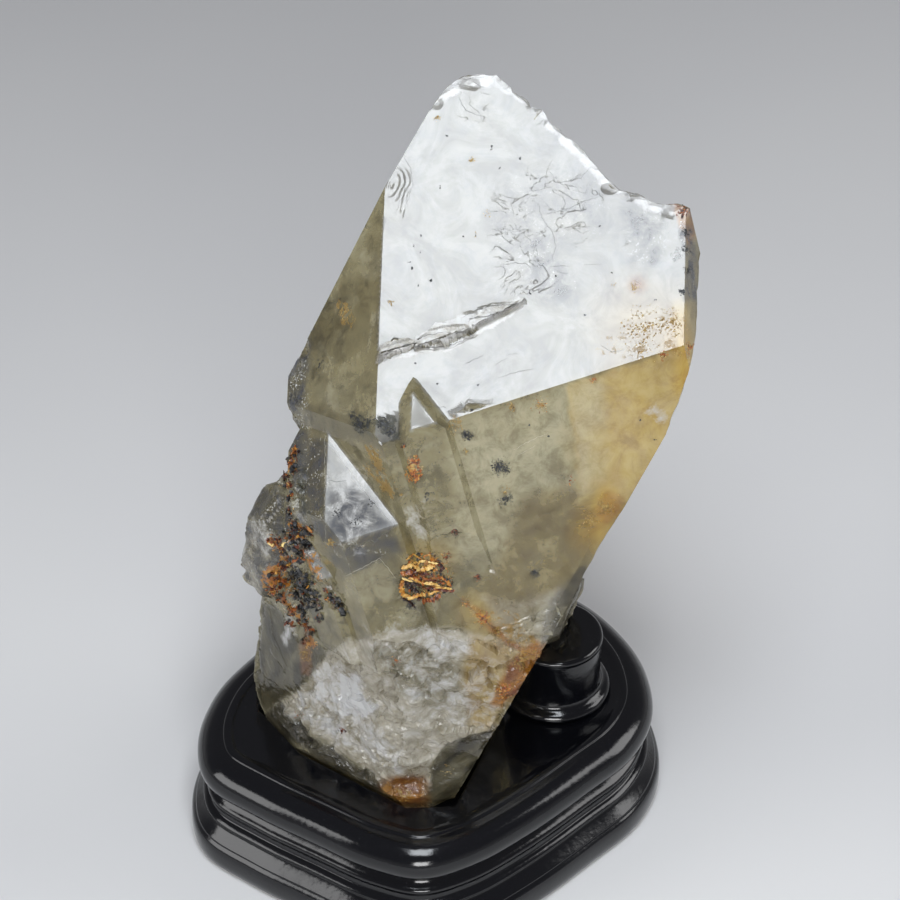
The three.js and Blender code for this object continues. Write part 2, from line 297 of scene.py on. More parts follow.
def split_faces(points, faces, mids, tags):
    """New triangles for faces whose edges got a middle point (mids, or -1 where not)."""
    count = (mids >= 0).sum(axis=1)
    out, out_tags = [faces[count == 0]], [tags[count == 0]]

    def add(rows, *corners):
        out.append(np.stack(corners, axis=1))
        out_tags.append(tags[rows])

    rows = np.flatnonzero(count == 3)
    (a, b, c), (ab, bc, ca) = faces[rows].T, mids[rows].T
    for corners in ((a, ab, ca), (ab, b, bc), (ca, bc, c), (ab, bc, ca)):
        add(rows, *corners)
    for turn in range(3):
        order = [turn, (turn + 1) % 3, (turn + 2) % 3]
        corner, middle = faces[:, order], mids[:, order]
        rows = np.flatnonzero((count == 1) & (middle[:, 0] >= 0))
        (a, b, c), ab = corner[rows].T, middle[rows, 0]
        add(rows, a, ab, c)
        add(rows, ab, b, c)
        rows = np.flatnonzero((count == 2) & (middle[:, 2] < 0))
        (a, b, c), ab, bc = corner[rows].T, middle[rows, 0], middle[rows, 1]
        add(rows, ab, b, bc)
        one, other = (np.linalg.norm(points[i] - points[j], axis=1) for i, j in ((a, bc), (ab, c)))
        across = one < other
        for keep, quads in ((across, ((a, ab, bc), (a, bc, c))), (~across, ((a, ab, c), (ab, bc, c)))):
            for quad in quads:
                add(rows[keep], *(corner_[keep] for corner_ in quad))
    return np.vstack(out), np.concatenate(out_tags)


def averaged(points, edges, rounds, weight):
    """Moves points towards the mean of their neighbours, `weight` of the way each round."""
    for _ in range(rounds):
        total = np.zeros_like(points)
        count = np.zeros(len(points))
        for a, b in ((0, 1), (1, 0)):
            np.add.at(total, edges[:, a], points[edges[:, b]])
            np.add.at(count, edges[:, a], 1)
        mean = total / np.maximum(count, 1)[:, None]
        points = points + weight[:, None] * (mean - points)
    return points


def make_mesh(name, points, faces, smooth=None, fields=None):
    """A mesh object from millimetre points, with float fields on its points."""
    mesh = bpy.data.meshes.new(name)
    mesh.from_pydata((points * MM).tolist(), [], [list(map(int, f)) for f in faces])
    for field, values in (fields or {}).items():
        mesh.attributes.new(field, "FLOAT", "POINT").data.foreach_set("value", values.astype(np.float32))
    flags = np.ones(len(faces), bool) if smooth is None else smooth
    mesh.polygons.foreach_set("use_smooth", flags)
    mesh.update()
    piece = bpy.data.objects.new(name, mesh)
    bpy.context.scene.collection.objects.link(piece)
    return piece


# The crystal's surface
SOCKET_TOP = 34.5
BOX_LOW, BOX_HIGH = (np.array(v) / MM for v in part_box("quartz_cluster"))
# The longest edges in the mesh, on natural faces and on broken surfaces.
FRONT_FLAT_EDGE, FRONT_ROUGH_EDGE = 1.65, 1.03
BACK_FLAT_EDGE, BACK_ROUGH_EDGE = 4.5, 2.2
# A triangle's tag is its face in the lattice, or one of these.
BROKEN, BROKEN_IN_SIGHT = -1, -2
# A lattice face counts as seen down to this cosine with the line of sight.
GRAZING = -0.05
# A triangle this close in degrees to a lattice face lies in it.
NATURAL_WITHIN = 0.8


def surface_hit(tree, px, py):
    """Where the sight through a pixel meets the stone."""
    spot, normal, _, _ = tree.ray_cast(Vector(EYE), Vector(sight(px, py)))
    if spot is None:
        return None, None
    return np.array(spot), np.array(normal)


class Stone:
    """The refined stone: points, triangles, and which lattice face each triangle lies in."""

    def __init__(self):
        points, faces = cad_triangles("quartz_cluster")
        self.tree = BVHTree.FromPolygons(points.tolist(), faces.tolist())
        normals = normals_of(points, faces)
        match = normals @ LATTICE.T
        in_sight = ((EYE - points[faces[:, 0]]) * normals).sum(axis=1) > 0
        tags = np.where(in_sight, BROKEN_IN_SIGHT, BROKEN)
        natural = match.max(axis=1) > math.cos(math.radians(NATURAL_WITHIN))
        tags = np.where(natural, match.argmax(axis=1), tags)
        fine = [(self.hit(*pixel), radius, edge) for pixel, radius, edge in FINE_SPOTS]
        faces_lens = LATTICE @ -FORWARD > GRAZING

        def limit(middles, tag):
            allowed = np.where(tag == BROKEN_IN_SIGHT, FRONT_ROUGH_EDGE, BACK_ROUGH_EDGE)
            flat = np.where(faces_lens[tag], FRONT_FLAT_EDGE, BACK_FLAT_EDGE)
            allowed = np.where(tag >= 0, flat, allowed)
            for spot, radius, edge in fine:
                near = np.linalg.norm(middles - spot, axis=1) < radius
                allowed = np.where(near, np.minimum(allowed, edge), allowed)
            return allowed

        self.points, self.faces, self.tags = split_long(points, faces, tags, limit)
        self.edges, _ = edges_of(self.faces)
        self.on_plane = np.zeros((len(self.points), len(LATTICE)), bool)
        natural = self.tags >= 0
        self.on_plane[self.faces[natural], self.tags[natural][:, None]] = True
        self.by_break = np.zeros(len(self.points), bool)
        self.by_break[self.faces[~natural]] = True
        way = EYE - self.points
        way /= np.linalg.norm(way, axis=1, keepdims=True)
        self.towards = step(-0.02, 0.06, (way * point_normals(self.points, self.faces)).sum(axis=1))
        self.px, self.py = pixels_of(self.points)
        self.wander = 2.5 * noise(self.points, 5, 31) + 1.5 * noise(self.points, 2, 32)

    def hit(self, px, py):
        """The surface point under a pixel, or under the nearest one inwards that has any."""
        for inwards in np.linspace(0, 0.15, 16):
            x, y = (at + inwards * (middle - at) for at, middle in zip((px, py), STONE_MIDDLE))
            spot, _ = surface_hit(self.tree, x, y)
            if spot is not None:
                return spot
        raise ValueError(f"the sight through {px}, {py} misses the stone")

    def field(self, spots):
        """For each point the strongest of spots, each fading from its middle to its rim.
        A spot is (x, y, radius, strength) or (x, y, x2, y2, radius, strength) in pixels and mm."""
        value = np.zeros(len(self.points))
        for spot in spots:
            *pixels, radius, strength = spot
            a = self.hit(pixels[0], pixels[1])
            b = self.hit(pixels[2], pixels[3]) if len(pixels) == 4 else a
            along = b - a
            t = np.clip((self.points - a) @ along / max(along @ along, 1e-9), 0, 1)
            away = np.linalg.norm(self.points - a - t[:, None] * along, axis=1)
            value = np.maximum(value, strength * np.clip(1 - away / radius, 0, 1))
        return value

    def zone(self, patches):
        """Fields over outlines in the photograph, on the surfaces that face the lens.
        A patch is (outline, softness in pixels, strength)."""
        value = np.zeros(len(self.points))
        for outline, softness, strength in patches:
            inside = depth_inside(self.px, self.py, outline) + self.wander * min(1, softness / 3)
            value = np.maximum(value, strength * self.towards * step(-softness, softness, inside))
        return value

    def look(self, name):
        """How strongly a look shows at each point: the stronger of its zones and its spots."""
        value = self.zone(ZONES.get(name, []))
        if name in WEAKENED:
            share, patches = WEAKENED[name]
            value *= 1 - share * self.zone(patches)
        return np.maximum(value, self.field(SPOTS.get(name, [])))

    def roughen(self, crust, glassy):
        """Gives the broken surfaces their relief. Natural faces stay in their planes."""
        lobe = step(0.2, 0.6, glassy)
        ledge = self.zone([(LEDGE, 4, 1.0)])
        worn = self.zone([(LEFT_FACE, 5, 1.0), (SMOKY_LUMP, 4, 1.0), (NUB, 4, 1.0)]) * self.by_break
        settle = 0.5 * np.maximum(np.maximum(lobe, worn), ledge)
        p = averaged(self.points, self.edges, SETTLE_ROUNDS, settle)
        natural = self.on_plane.any(axis=1) & (ledge < 0.3)
        moved = self.fracture(p, crust, lobe, natural)
        free = (crust > 0.45) & ~self.by_break
        self.hold_natural(moved, natural & ~free & (lobe < 0.3))
        self.lift_ledge(p, moved, ledge)
        self.break_rim(p, moved)
        self.chip(p, moved)
        self.sink_corner(moved)
        self.narrow_nub(p, moved)
        self.points = np.clip(self.trimmed(p + moved), BOX_LOW, BOX_HIGH)

    def fracture(self, p, crust, lobe, natural):
        """Moves broken points out or in, with waves, shell-like dishes and splinters."""
        broken = self.by_break | (crust > 0.3)
        strength = np.where(natural & ~self.by_break, step(0.3, 0.7, crust), 1.0) * broken
        strength *= step(SOCKET_TOP, SOCKET_TOP + 3, p[:, 2])
        calm = np.maximum(lobe, self.zone(CALM_ZONES))
        dish, own = facets(p, 6.5, 3)
        chips, _ = facets(p, 2.4, 5)
        height = 0.6 * noise(p, 8, 1) + 0.7 * (0.45 - dish) + 0.3 * (own - 0.5)
        splinters = 0.26 * hackle(p, 9.5, 41) + 0.2 * hackle(p, 4.2, 61) + 0.1 * hackle(p, 2.1, 81)
        height += 0.18 * (0.45 - chips) + splinters
        height *= (1 - 0.85 * calm) * (1 + 0.5 * step(0.3, 0.8, crust))
        height = np.minimum(height, HIGHEST_GRAIN)
        return (strength * height)[:, None] * point_normals(p, self.faces)

    def hold_natural(self, moved, held):
        """Points of natural faces move only along their planes, and little."""
        for k in range(len(LATTICE)):
            rows = held & self.on_plane[:, k]
            moved[rows] -= (moved[rows] @ LATTICE[k])[:, None] * LATTICE[k]
        shared = held & (self.on_plane.sum(axis=1) > 1)
        moved[shared] *= 0.25
        moved[held] = np.clip(moved[held], -0.45, 0.45)

    def lift_ledge(self, p, moved, ledge):
        """Lifts the ledge of the bright face, with three rippled lenses. It ends up to 3.4 mm in
        front of that face: the level is the highest of all faces in its direction, which is the
        small front point's own tip face, 3.6 mm further out."""
        level = (p[self.on_plane[:, BRIGHT]] @ BRIGHT_FACE).max()
        sunk = np.where(self.by_break & (ledge > 0.3), level - (p + moved) @ BRIGHT_FACE, 0)
        lens = self.zone([(LENS_LEFT, 1, 1.0), (LENS_MIDDLE, 1, 1.0), (LENS_RIGHT, 1, 1.0)])
        ripple = 0.16 * np.clip(noise(p * [1, 1, 2.5], 1.6, 91), -1, 1) * lens
        lifted = (0.96 - 0.1 * lens) * sunk * (sunk < 12)
        moved += (lifted - ripple - 0.15 * lens)[:, None] * BRIGHT_FACE

    def break_rim(self, p, moved):
        """The upper rim of the bright face runs out unevenly."""
        bright = self.on_plane[:, BRIGHT]
        rim = self.by_break & bright & (self.py < RIM_ABOVE) & (self.px > TOP_RIGHT_OF)
        outward = p - p[bright].mean(axis=0)
        outward -= (outward @ BRIGHT_FACE)[:, None] * BRIGHT_FACE
        outward /= np.maximum(np.linalg.norm(outward, axis=1, keepdims=True), 1e-9)
        reach = np.clip(0.9 + 1.1 * noise(p, 2.2, 51) + 0.7 * noise(p, 0.9, 52), 0, 2.2)
        moved[rim] = (reach[:, None] * outward)[rim]

    def chip(self, p, moved):
        """Shell-shaped chips in the bright face, each with rings."""
        bright = self.on_plane[:, BRIGHT]
        for x, y, wide, high, depth, rings in CHIPS:
            r = np.hypot((self.px - x) / wide, (self.py - y) / high) + 0.26 * noise(p, 3.5, 71)
            wave = (1 - r) * (0.91 + 0.09 * np.cos(2 * math.pi * rings * r))
            inside = (r < 1) & bright & (self.towards > 0.5)
            sink = np.where(inside, depth * np.clip(wave, 0, 1), 0)
            moved -= sink[:, None] * BRIGHT_FACE

    def sink_corner(self, moved):
        """The lower left corner of the bright face falls away below a slanting line."""
        corner = self.zone([(LOWER_LEFT_CORNER, 0.5, 1.0)]) * self.on_plane[:, BRIGHT]
        below = self.py - CORNER_AT[1] + CORNER_SLOPE * (self.px - CORNER_AT[0])
        moved -= (CORNER_DROP * np.clip(below, 0, 30) * corner)[:, None] * BRIGHT_FACE

    def narrow_nub(self, p, moved):
        """Draws the right side over the post back to the photograph's outline."""
        line = np.interp(self.py, *np.array(NUB_SIDE).T[::-1])
        beside = (self.py > NUB_ROWS[0]) & (self.py < NUB_ROWS[1]) & (p[:, 2] > NUB_FOOT)
        over = np.where(beside, np.clip(self.px - line, 0, 60), 0)
        moved -= (NUB_DRAW * over)[:, None] * RIGHT

    def trimmed(self, p):
        """Draws the top and the upper right side back to the photograph's outline."""
        px, py = pixels_of(p)
        top = np.interp(px, *np.array(TOP_LINE).T) + 1.6 * noise(p, 1.7, 53)
        upper = (px > TOP_RIGHT_OF) & (py < TOP_ABOVE)
        above = np.where(upper, np.clip(top - py, 0, 40), 0) * PIXEL
        drop = np.tile(UP, (len(p), 1))
        drop[self.on_plane[:, BRIGHT]] -= (UP @ BRIGHT_FACE) * BRIGHT_FACE
        side = np.interp(py, *np.array(RIGHT_LINE).T[::-1]) + 0.8 * noise(p, 2.2, 54)
        beside = (py > SIDE_ROWS[0]) & (py < SIDE_ROWS[1])
        beyond = np.where(beside, np.clip(px - side, 0, 30), 0) * PIXEL
        return p - above[:, None] * drop - beyond[:, None] * RIGHT


# Rounds of smoothing on worn places, and the highest grain in millimetres.
SETTLE_ROUNDS = 8
HIGHEST_GRAIN = 0.9
# One pixel of the photograph at the stone, in millimetres.
PIXEL = 0.247
# Parts of the stone in the photograph, in pixels: its middle, how far left and down the top and
# the broken rim of the bright face reach, and the rows of the trimmed side and of the nub.
STONE_MIDDLE = (460, 430)
TOP_RIGHT_OF, TOP_ABOVE, RIM_ABOVE = 430, 240, 212
SIDE_ROWS, NUB_ROWS = (318, 560), (560, 668)
# The nub is drawn in above this height, by this much for each pixel that it stands out.
NUB_FOOT, NUB_DRAW = 45, 0.235
# The bright face's lower left corner sinks under a line through a pixel, for each pixel below it.
CORNER_AT, CORNER_SLOPE, CORNER_DROP = (380, 418), 0.29, 0.05
# The stone's upper outline, in the photograph.
TOP_LINE = [
    (430, 112), (437, 100), (445, 90), (455, 82), (463, 77), (482, 75), (497, 75), (503, 82), (515, 92),
    (530, 102), (545, 112), (550, 120), (575, 142), (590, 160), (603, 176), (620, 191), (640, 195),
    (655, 204), (672, 205), (680, 202), (693, 211), (697, 240),
]
# The upper part of its right side.
RIGHT_LINE = [
    (698, 318), (695, 340), (690, 366), (683.5, 387), (679, 401), (671, 419), (665, 437), (645, 473),
    (624, 508), (600, 544), (592, 560),
]
# The right side of the stone over the post, in the photograph.
NUB_SIDE = [(600, 545), (592, 560), (583, 575), (579, 590), (568, 610), (558, 640), (547, 655), (535, 668)]
# Places that get a finer mesh: pixel, radius and edge length in millimetres.
FINE_SPOTS = [
    ((398, 180), 6, 0.33), ((398, 200), 5, 0.33), ((437, 102), 2.6, 0.33), ((610, 189), 2.6, 0.33),
    ((452, 345), 7, 0.5), ((500, 320), 7, 0.5), ((410, 350), 6, 0.5), ((298, 390), 8, 0.6),
]
# Shell-shaped chips: middle and half sizes in pixels, depth in millimetres, and count of rings.
CHIPS = [
    (391, 186, 22, 38, 0.36, 4.5), (437, 103, 8, 8, 0.4, 2.0), (610, 189, 9, 6, 0.5, 1.0),
    (545, 118, 9, 6, 0.4, 1.5), (470, 84, 14, 6, 0.5, 2.0), (668, 214, 9, 6, 0.4, 1.5),
]

# Glassy, smoothly broken places: the lobe on the far left and the smoky lump at the foot.
GLASSY = [(260, 515, 15, 1.2), (258, 555, 15, 1.2), (262, 590, 10, 1.0), (460, 768, 8, 0.9)]
# The left side, where the crystals are overgrown and eaten away.
CRUST = [
    (300, 480, 300, 520, 6, 0.9), (295, 540, 305, 620, 9, 1.0), (312, 560, 335, 600, 6, 0.8),
    (303, 350, 296, 432, 7, 0.7),
]
IRON = [
    (290, 462, 287, 482, 3.5, 0.8), (300, 530, 292, 560, 4.5, 0.8), (276, 543, 3.6, 0.8),
    (272, 575, 284, 598, 4.5, 0.9), (300, 620, 310, 640, 4.5, 0.8), (305, 555, 318, 575, 3.5, 0.6),
    (427, 578, 8.5, 0.9),
]
OCHRE = [
    (371, 452, 378, 466, 4.5, 0.75), (378, 478, 391, 492, 4.5, 0.72), (340, 305, 348, 320, 3.6, 0.5),
    (640, 345, 6, 0.45),
    (540, 405, 3, 0.4), (455, 425, 4.5, 0.4), (605, 505, 5, 0.6), (590, 520, 4, 0.5),
    (520, 640, 500, 620, 6, 0.55), (530, 655, 5, 0.7), (478, 612, 486, 621, 3, 0.8),
    (605, 345, 640, 338, 4, 0.3), (650, 330, 682, 322, 5, 0.34), (668, 350, 5, 0.5), (414, 470, 4, 0.5),
]
AMBER = [
    (685, 345, 682, 385, 10, 1.0), (682, 318, 684, 345, 7, 0.8), (640, 400, 660, 430, 16, 0.75),
    (610, 440, 630, 480, 14, 0.6),
    (606, 496, 594, 530, 10, 1.0), (520, 655, 510, 690, 9, 0.85), (400, 792, 6, 0.9),
    (640, 325, 675, 335, 16, 0.4), (480, 610, 510, 640, 8, 0.5), (430, 560, 9, 0.4),
]
MOSS = [
    (355, 420, 368, 428, 3.6, 1.1), (382, 424, 390, 430, 3.4, 1.1), (467, 435, 2.6, 0.9),
    (500, 467, 3.2, 1.05), (505, 500, 2.4, 0.9), (535, 573, 2.2, 0.9), (411, 605, 2.4, 0.9),
    (300, 580, 312, 610, 5, 1.0), (335, 600, 345, 610, 3, 0.9), (300, 480, 305, 510, 3.5, 0.7),
    (676, 256, 2, 0.9), (683, 290, 1.8, 0.9), (427, 585, 2.6, 0.9),
]
# Milky white spots: the stone's own milky quartz, and painted highlights below the small point (360, 552) and
# on the lit facet of the base (351, 700 to 355, 680).
MILK_AND_HIGHLIGHTS = [
    (350, 480, 355, 520, 9, 0.55), (360, 552, 3, 0.9), (262, 540, 9, 0.35), (420, 520, 9, 0.35),
    (351, 700, 355, 680, 5, 0.9), (430, 640, 440, 650, 9, 0.6), (490, 735, 5, 0.4),
    (652, 411, 2.6, 0.7), (660, 418, 2.6, 0.7), (300, 518, 3, 0.8), (290, 620, 285, 640, 3, 0.7),
    (405, 660, 470, 700, 20, 0.35),
]
PINK = [(637, 285, 3, 1.0)]
# Dark smoky spots. Some are painted shade: under the stone's foot (310, 770 to 360, 790), on the side turned
# from the light (298, 380 to 300, 430 and 305, 500 to 300, 470) and under the small point (372, 540).
SMOKE_AND_SHADE = [
    (298, 380, 300, 430, 6, 0.55), (275, 515, 6, 0.75), (305, 500, 300, 470, 6, 0.6),
    (560, 480, 590, 560, 12, 0.3), (540, 560, 10, 0.4), (460, 768, 10, 0.85), (280, 665, 12, 0.35),
    (372, 540, 4, 0.7), (480, 560, 9, 0.3), (380, 560, 8, 0.3), (445, 400, 425, 385, 2, 0.6),
    (310, 770, 360, 790, 4, 0.8), (300, 640, 330, 640, 9, 0.35), (322, 395, 340, 405, 8, 0.35),
]

# Outlines of parts of the stone's surface, in the photograph.
BASE_BREAK = [
    (281, 701), (300, 690), (318, 668), (330, 650), (352, 640), (400, 632), (430, 628), (470, 632),
    (500, 640), (520, 650), (528, 668), (515, 690), (505, 705), (492, 730), (470, 735), (447, 742),
    (434, 758), (428, 790), (410, 783), (383, 783), (355, 759), (322, 742), (295, 720),
]
# The band under the stone's foot, which the smoky darkening fills as painted shade.
UNDERCUT = [
    (281, 701), (295, 722), (322, 744), (355, 762), (383, 786), (380, 794), (340, 772), (300, 745),
    (281, 736), (262, 713),
]
LEFT_FACE = [
    (255, 596), (280, 606), (300, 640), (332, 648), (318, 668), (300, 690), (281, 701), (264, 713),
    (255, 690),
]
SMOKY_LUMP = [
    (432, 760), (447, 742), (470, 734), (494, 728), (492, 752), (480, 777), (442, 806), (424, 802),
]
ORANGE_TOE = [(384, 780), (404, 778), (426, 786), (428, 808), (400, 808), (382, 790)]
YELLOW_SIDE = [
    (566, 386), (685, 346), (700, 385), (665, 440), (640, 486), (620, 504), (600, 492), (578, 502),
    (572, 440),
]
FRONT_PALE = [(450, 425), (566, 388), (574, 440), (580, 488), (520, 500), (500, 560), (462, 560), (455, 480)]
LOWER_RIGHT = [(500, 560), (524, 500), (560, 486), (598, 486), (598, 545), (560, 590), (505, 628), (480, 590)]
LEDGE = [
    (376, 362), (380, 350), (415, 338), (440, 322), (470, 312), (520, 298), (528, 304), (500, 322),
    (470, 340), (445, 352), (405, 356),
]
LENS_LEFT = [(378, 361), (380, 354), (394, 348), (414, 341), (416, 346), (398, 353)]
LENS_MIDDLE = [(412, 343), (427, 334), (447, 330), (465, 329), (477, 336), (455, 346), (434, 351), (416, 347)]
LENS_RIGHT = [(462, 318), (478, 308), (492, 304), (522, 302), (504, 314), (488, 319), (474, 321)]
TOP_RIM = [
    (432, 104), (440, 84), (455, 70), (500, 66), (530, 84), (556, 112), (580, 140), (606, 170), (640, 194),
    (690, 196), (702, 222), (682, 216), (640, 210), (604, 188), (566, 148), (530, 108), (496, 86), (466, 88),
    (444, 104),
]
YELLOW_BORDER = [(566, 386), (604, 374), (604, 480), (578, 500), (572, 440)]
LEFT_CHAMFER = [(292, 402), (312, 404), (352, 418), (402, 438), (396, 446), (330, 438), (300, 428)]
SHELF_BELOW = [(345, 575), (380, 558), (395, 578), (392, 600), (360, 604), (344, 596)]
FIRST_TIP = [(413, 392), (410, 427), (436, 426)]
SECOND_TIP = [(325, 434), (325, 541), (396, 526)]
SECOND_TIP_FOOT = [(326, 492), (356, 486), (378, 510), (390, 525), (352, 540), (326, 540)]
BELOW_SECOND_TIP = [(326, 540), (352, 540), (390, 526), (400, 552), (380, 560), (345, 575), (330, 560)]
SHADED_BAND = [(376, 427), (390, 432), (404, 455), (397, 467), (386, 447)]
SHADOW_SIDE = [(284, 380), (309, 345), (306, 400), (312, 436), (326, 440), (325, 540), (300, 520), (286, 450)]
LOBE = [(238, 500), (255, 486), (276, 490), (292, 500), (288, 560), (262, 610), (240, 590), (232, 540)]
FROSTED_LOBE = [(236, 540), (268, 536), (276, 560), (266, 600), (246, 596)]
BROWN_BREAK = [(470, 632), (500, 640), (520, 650), (528, 668), (515, 690), (492, 730), (470, 728), (462, 680)]
AMBER_WEDGE = [(596, 514), (606, 490), (624, 498), (620, 512), (606, 526)]
GLINTING_BREAK = [(482, 598), (520, 602), (562, 588), (548, 640), (530, 654), (500, 640)]
RUST_LINE = [(462, 598), (478, 608), (492, 622), (512, 642), (530, 650), (528, 656), (506, 644), (484, 626)]
LEFT_STRIP = [(285, 372), (306, 335), (309, 380), (304, 436), (296, 440), (288, 410)]
ORANGE_STREAK = [(299, 628), (308, 628), (312, 650), (309, 676), (302, 674), (300, 650)]
GREY_BAND = [(512, 236), (540, 232), (578, 284), (566, 308), (538, 296)]
LOWER_LEFT_CORNER = [(374, 419), (403, 412), (403, 447), (374, 447)]
CORNER_RUST = [(670, 202), (692, 205), (697, 236), (688, 246), (678, 222)]
RIGHT_BORDER = [(680, 214), (694, 232), (697, 300), (683, 300), (688, 262), (679, 240)]
RUST_EDGE = [
    (536, 640), (548, 648), (536, 668), (518, 692), (504, 708), (490, 702), (498, 684), (512, 664),
    (524, 648),
]
BASE_HOLLOW = [(366, 652), (400, 642), (452, 662), (474, 690), (440, 706), (400, 692)]
BASE_FACET = [(337, 674), (352, 682), (376, 708), (364, 717), (341, 713)]
BASE_LIGHT = [(290, 705), (318, 670), (345, 653), (366, 690), (388, 740), (408, 778), (350, 750), (300, 722)]
BASE_CREST = [(404, 634), (430, 630), (470, 640), (480, 652), (450, 658), (410, 648)]
NUB = [(548, 600), (584, 566), (604, 600), (600, 650), (556, 660), (540, 650)]
CALM_PATCH = [(414, 512), (486, 518), (492, 582), (458, 588), (412, 562)]
BY_SECOND_TIP = [(312, 440), (326, 440), (326, 540), (312, 530), (304, 490)]
UPPER_SECOND_TIP = [(326, 436), (360, 486), (326, 492)]
CRACKLE = [(500, 175), (560, 165), (605, 190), (612, 230), (560, 250), (545, 300), (505, 290), (490, 230)]
SQUIGGLES = [(458, 92), (486, 94), (484, 120), (460, 120)]
CORNER_BLOTCH = [(622, 205), (662, 205), (668, 240), (655, 270), (628, 262)]


# Clumps of the crust on the left: middle and radius in pixels, and the share that is iron red.
CLUMPS = [
    (295, 452, 5, 0.8), (291, 461, 6, 0.85), (294, 470, 5, 0.7), (287, 476, 5, 1.0), (288, 485, 4, 0.9),
    (291, 496, 4, 0.6), (290, 510, 4, 0.5), (292, 521, 5, 0.6), (297, 531, 6, 0.45), (308, 531, 6, 0.4),
    (288, 533, 5, 0.6), (274, 541, 7, 0.85), (283, 549, 6, 0.6), (296, 546, 7, 0.35), (306, 545, 6, 0.3),
    (291, 560, 6, 0.4), (300, 558, 6, 0.15), (283, 566, 5, 0.6), (275, 575, 7, 0.95), (273, 588, 6, 0.95),
    (283, 583, 6, 0.7), (281, 597, 6, 0.8), (296, 575, 9, 0.15), (306, 582, 10, 0.04), (311, 597, 9, 0.04),
    (298, 593, 8, 0.15), (305, 607, 7, 0.2), (318, 605, 6, 0.05), (331, 598, 6, 0.4), (338, 604, 6, 0.15),
    (344, 611, 4, 0.05), (292, 611, 6, 0.7), (303, 620, 7, 0.8), (309, 632, 6, 0.85), (306, 641, 4, 0.8),
    (290, 624, 4, 0.8), (319, 618, 4, 0.4), (326, 590, 3, 0.3),
]
RED = 0.5
CALM_ZONES = [
    (LEFT_FACE, 4, 1.1), (SMOKY_LUMP, 3, 1.1), (NUB, 3, 1.1), (LEDGE, 2, 0.9), (CALM_PATCH, 4, 0.9),
]
CLEAR_ZONES = [(LEFT_FACE, 4, 1.0), (SMOKY_LUMP, 3, 1.0), (LOBE, 6, 0.6), (CALM_PATCH, 4, 1.0)]
# Each look of the surface, as patches for Stone.zone.
ZONES = {
    "frost": [(BASE_BREAK, 3, 0.85), (FROSTED_LOBE, 6, 0.4), (LEDGE, 2, 0.3), (GLINTING_BREAK, 7, 0.4)],
    "amber": [(YELLOW_SIDE, 2, 0.62), (LOWER_RIGHT, 10, 0.18), (BROWN_BREAK, 8, 0.8)],
    # Darker, smoky patches. Painted shade: under the stone (UNDERCUT), on the side turned from the light
    # (SHADOW_SIDE, SHADED_BAND, BY_SECOND_TIP), under the small point (BELOW_SECOND_TIP), in the hollow of
    # the base (BASE_HOLLOW) and on the nub over the post (NUB). The other patches darken the stone's colour.
    "smoke": [
        (UNDERCUT, 3, 1.0), (LEFT_FACE, 3, 0.86), (SMOKY_LUMP, 3, 1.0), (SHADED_BAND, 2, 0.35),
        (SHADOW_SIDE, 5, 0.75), (BELOW_SECOND_TIP, 5, 0.6), (SECOND_TIP_FOOT, 8, 0.5), (LOBE, 6, 0.66),
        (BASE_HOLLOW, 8, 0.4), (NUB, 3, 1.0), (BY_SECOND_TIP, 3, 0.86), (LOWER_RIGHT, 9, 0.4),
        (RIGHT_BORDER, 2, 0.7), (LEFT_CHAMFER, 3, 0.55), (LOWER_LEFT_CORNER, 2, 0.5), (BROWN_BREAK, 8, 0.3),
    ],
    # Milky white: frosted quartz on the base and the ledge, a painted highlight on the lit facet of the base
    # (BASE_FACET) and painted glint specks along the broken top rim (TOP_RIM).
    "milk": [
        (BASE_FACET, 2, 1.3), (BASE_LIGHT, 8, 0.45), (BASE_CREST, 6, 0.4), (TOP_RIM, 3, 0.65),
        (LEDGE, 2, 0.6),
    ],
    "pale": [(YELLOW_SIDE, 3, 0.9), (YELLOW_BORDER, 6, 1.0), (FRONT_PALE, 12, 0.5), (SHELF_BELOW, 2, 0.3)],
    "orange": [
        (ORANGE_TOE, 7, 0.9), (RUST_EDGE, 3, 1.0), (RUST_LINE, 1.5, 0.85), (AMBER_WEDGE, 3, 0.55),
        (CORNER_RUST, 2, 0.7), (ORANGE_STREAK, 2, 0.5),
    ],
    # Blue-grey hazy tone: painted shade on the side turned from the light (SHADOW_SIDE, LEFT_STRIP) and under
    # the small point (BELOW_SECOND_TIP), grey on the other patches. The painted glint specks show only where
    # it lies.
    "haze": [
        (SECOND_TIP_FOOT, 12, 0.9), (GREY_BAND, 9, 0.55), (CORNER_BLOTCH, 5, 0.6), (CRACKLE, 12, 0.3),
        (SHADOW_SIDE, 6, 0.8), (LOBE, 6, 0.7), (BELOW_SECOND_TIP, 6, 0.6), (LEFT_STRIP, 4, 1.0),
        (RIGHT_BORDER, 2, 1.0),
    ],
    "dull": [
        (SECOND_TIP, 1, 0.5), (SECOND_TIP_FOOT, 14, 1.4), (FIRST_TIP, 1, 1.6), (BASE_BREAK, 3, 0.3),
        (UPPER_SECOND_TIP, 1, 0.75),
    ],
    "etch": [(CRACKLE, 10, 1.0), (SQUIGGLES, 4, 1.0), (CORNER_BLOTCH, 6, 0.6), (LEDGE, 10, 0.5)],
}
# The same looks round single places, as spots for Stone.field.
SPOTS = {
    "iron": IRON + [(x, y, 0.36 * radius, 0.9) for x, y, radius, red in CLUMPS if red > RED],
    "moss": MOSS + [(x, y, 0.36 * radius, 1.1) for x, y, radius, red in CLUMPS if red <= RED],
    "ochre": OCHRE, "amber": AMBER, "smoke": SMOKE_AND_SHADE, "milk": MILK_AND_HIGHLIGHTS, "orange": PINK,
}
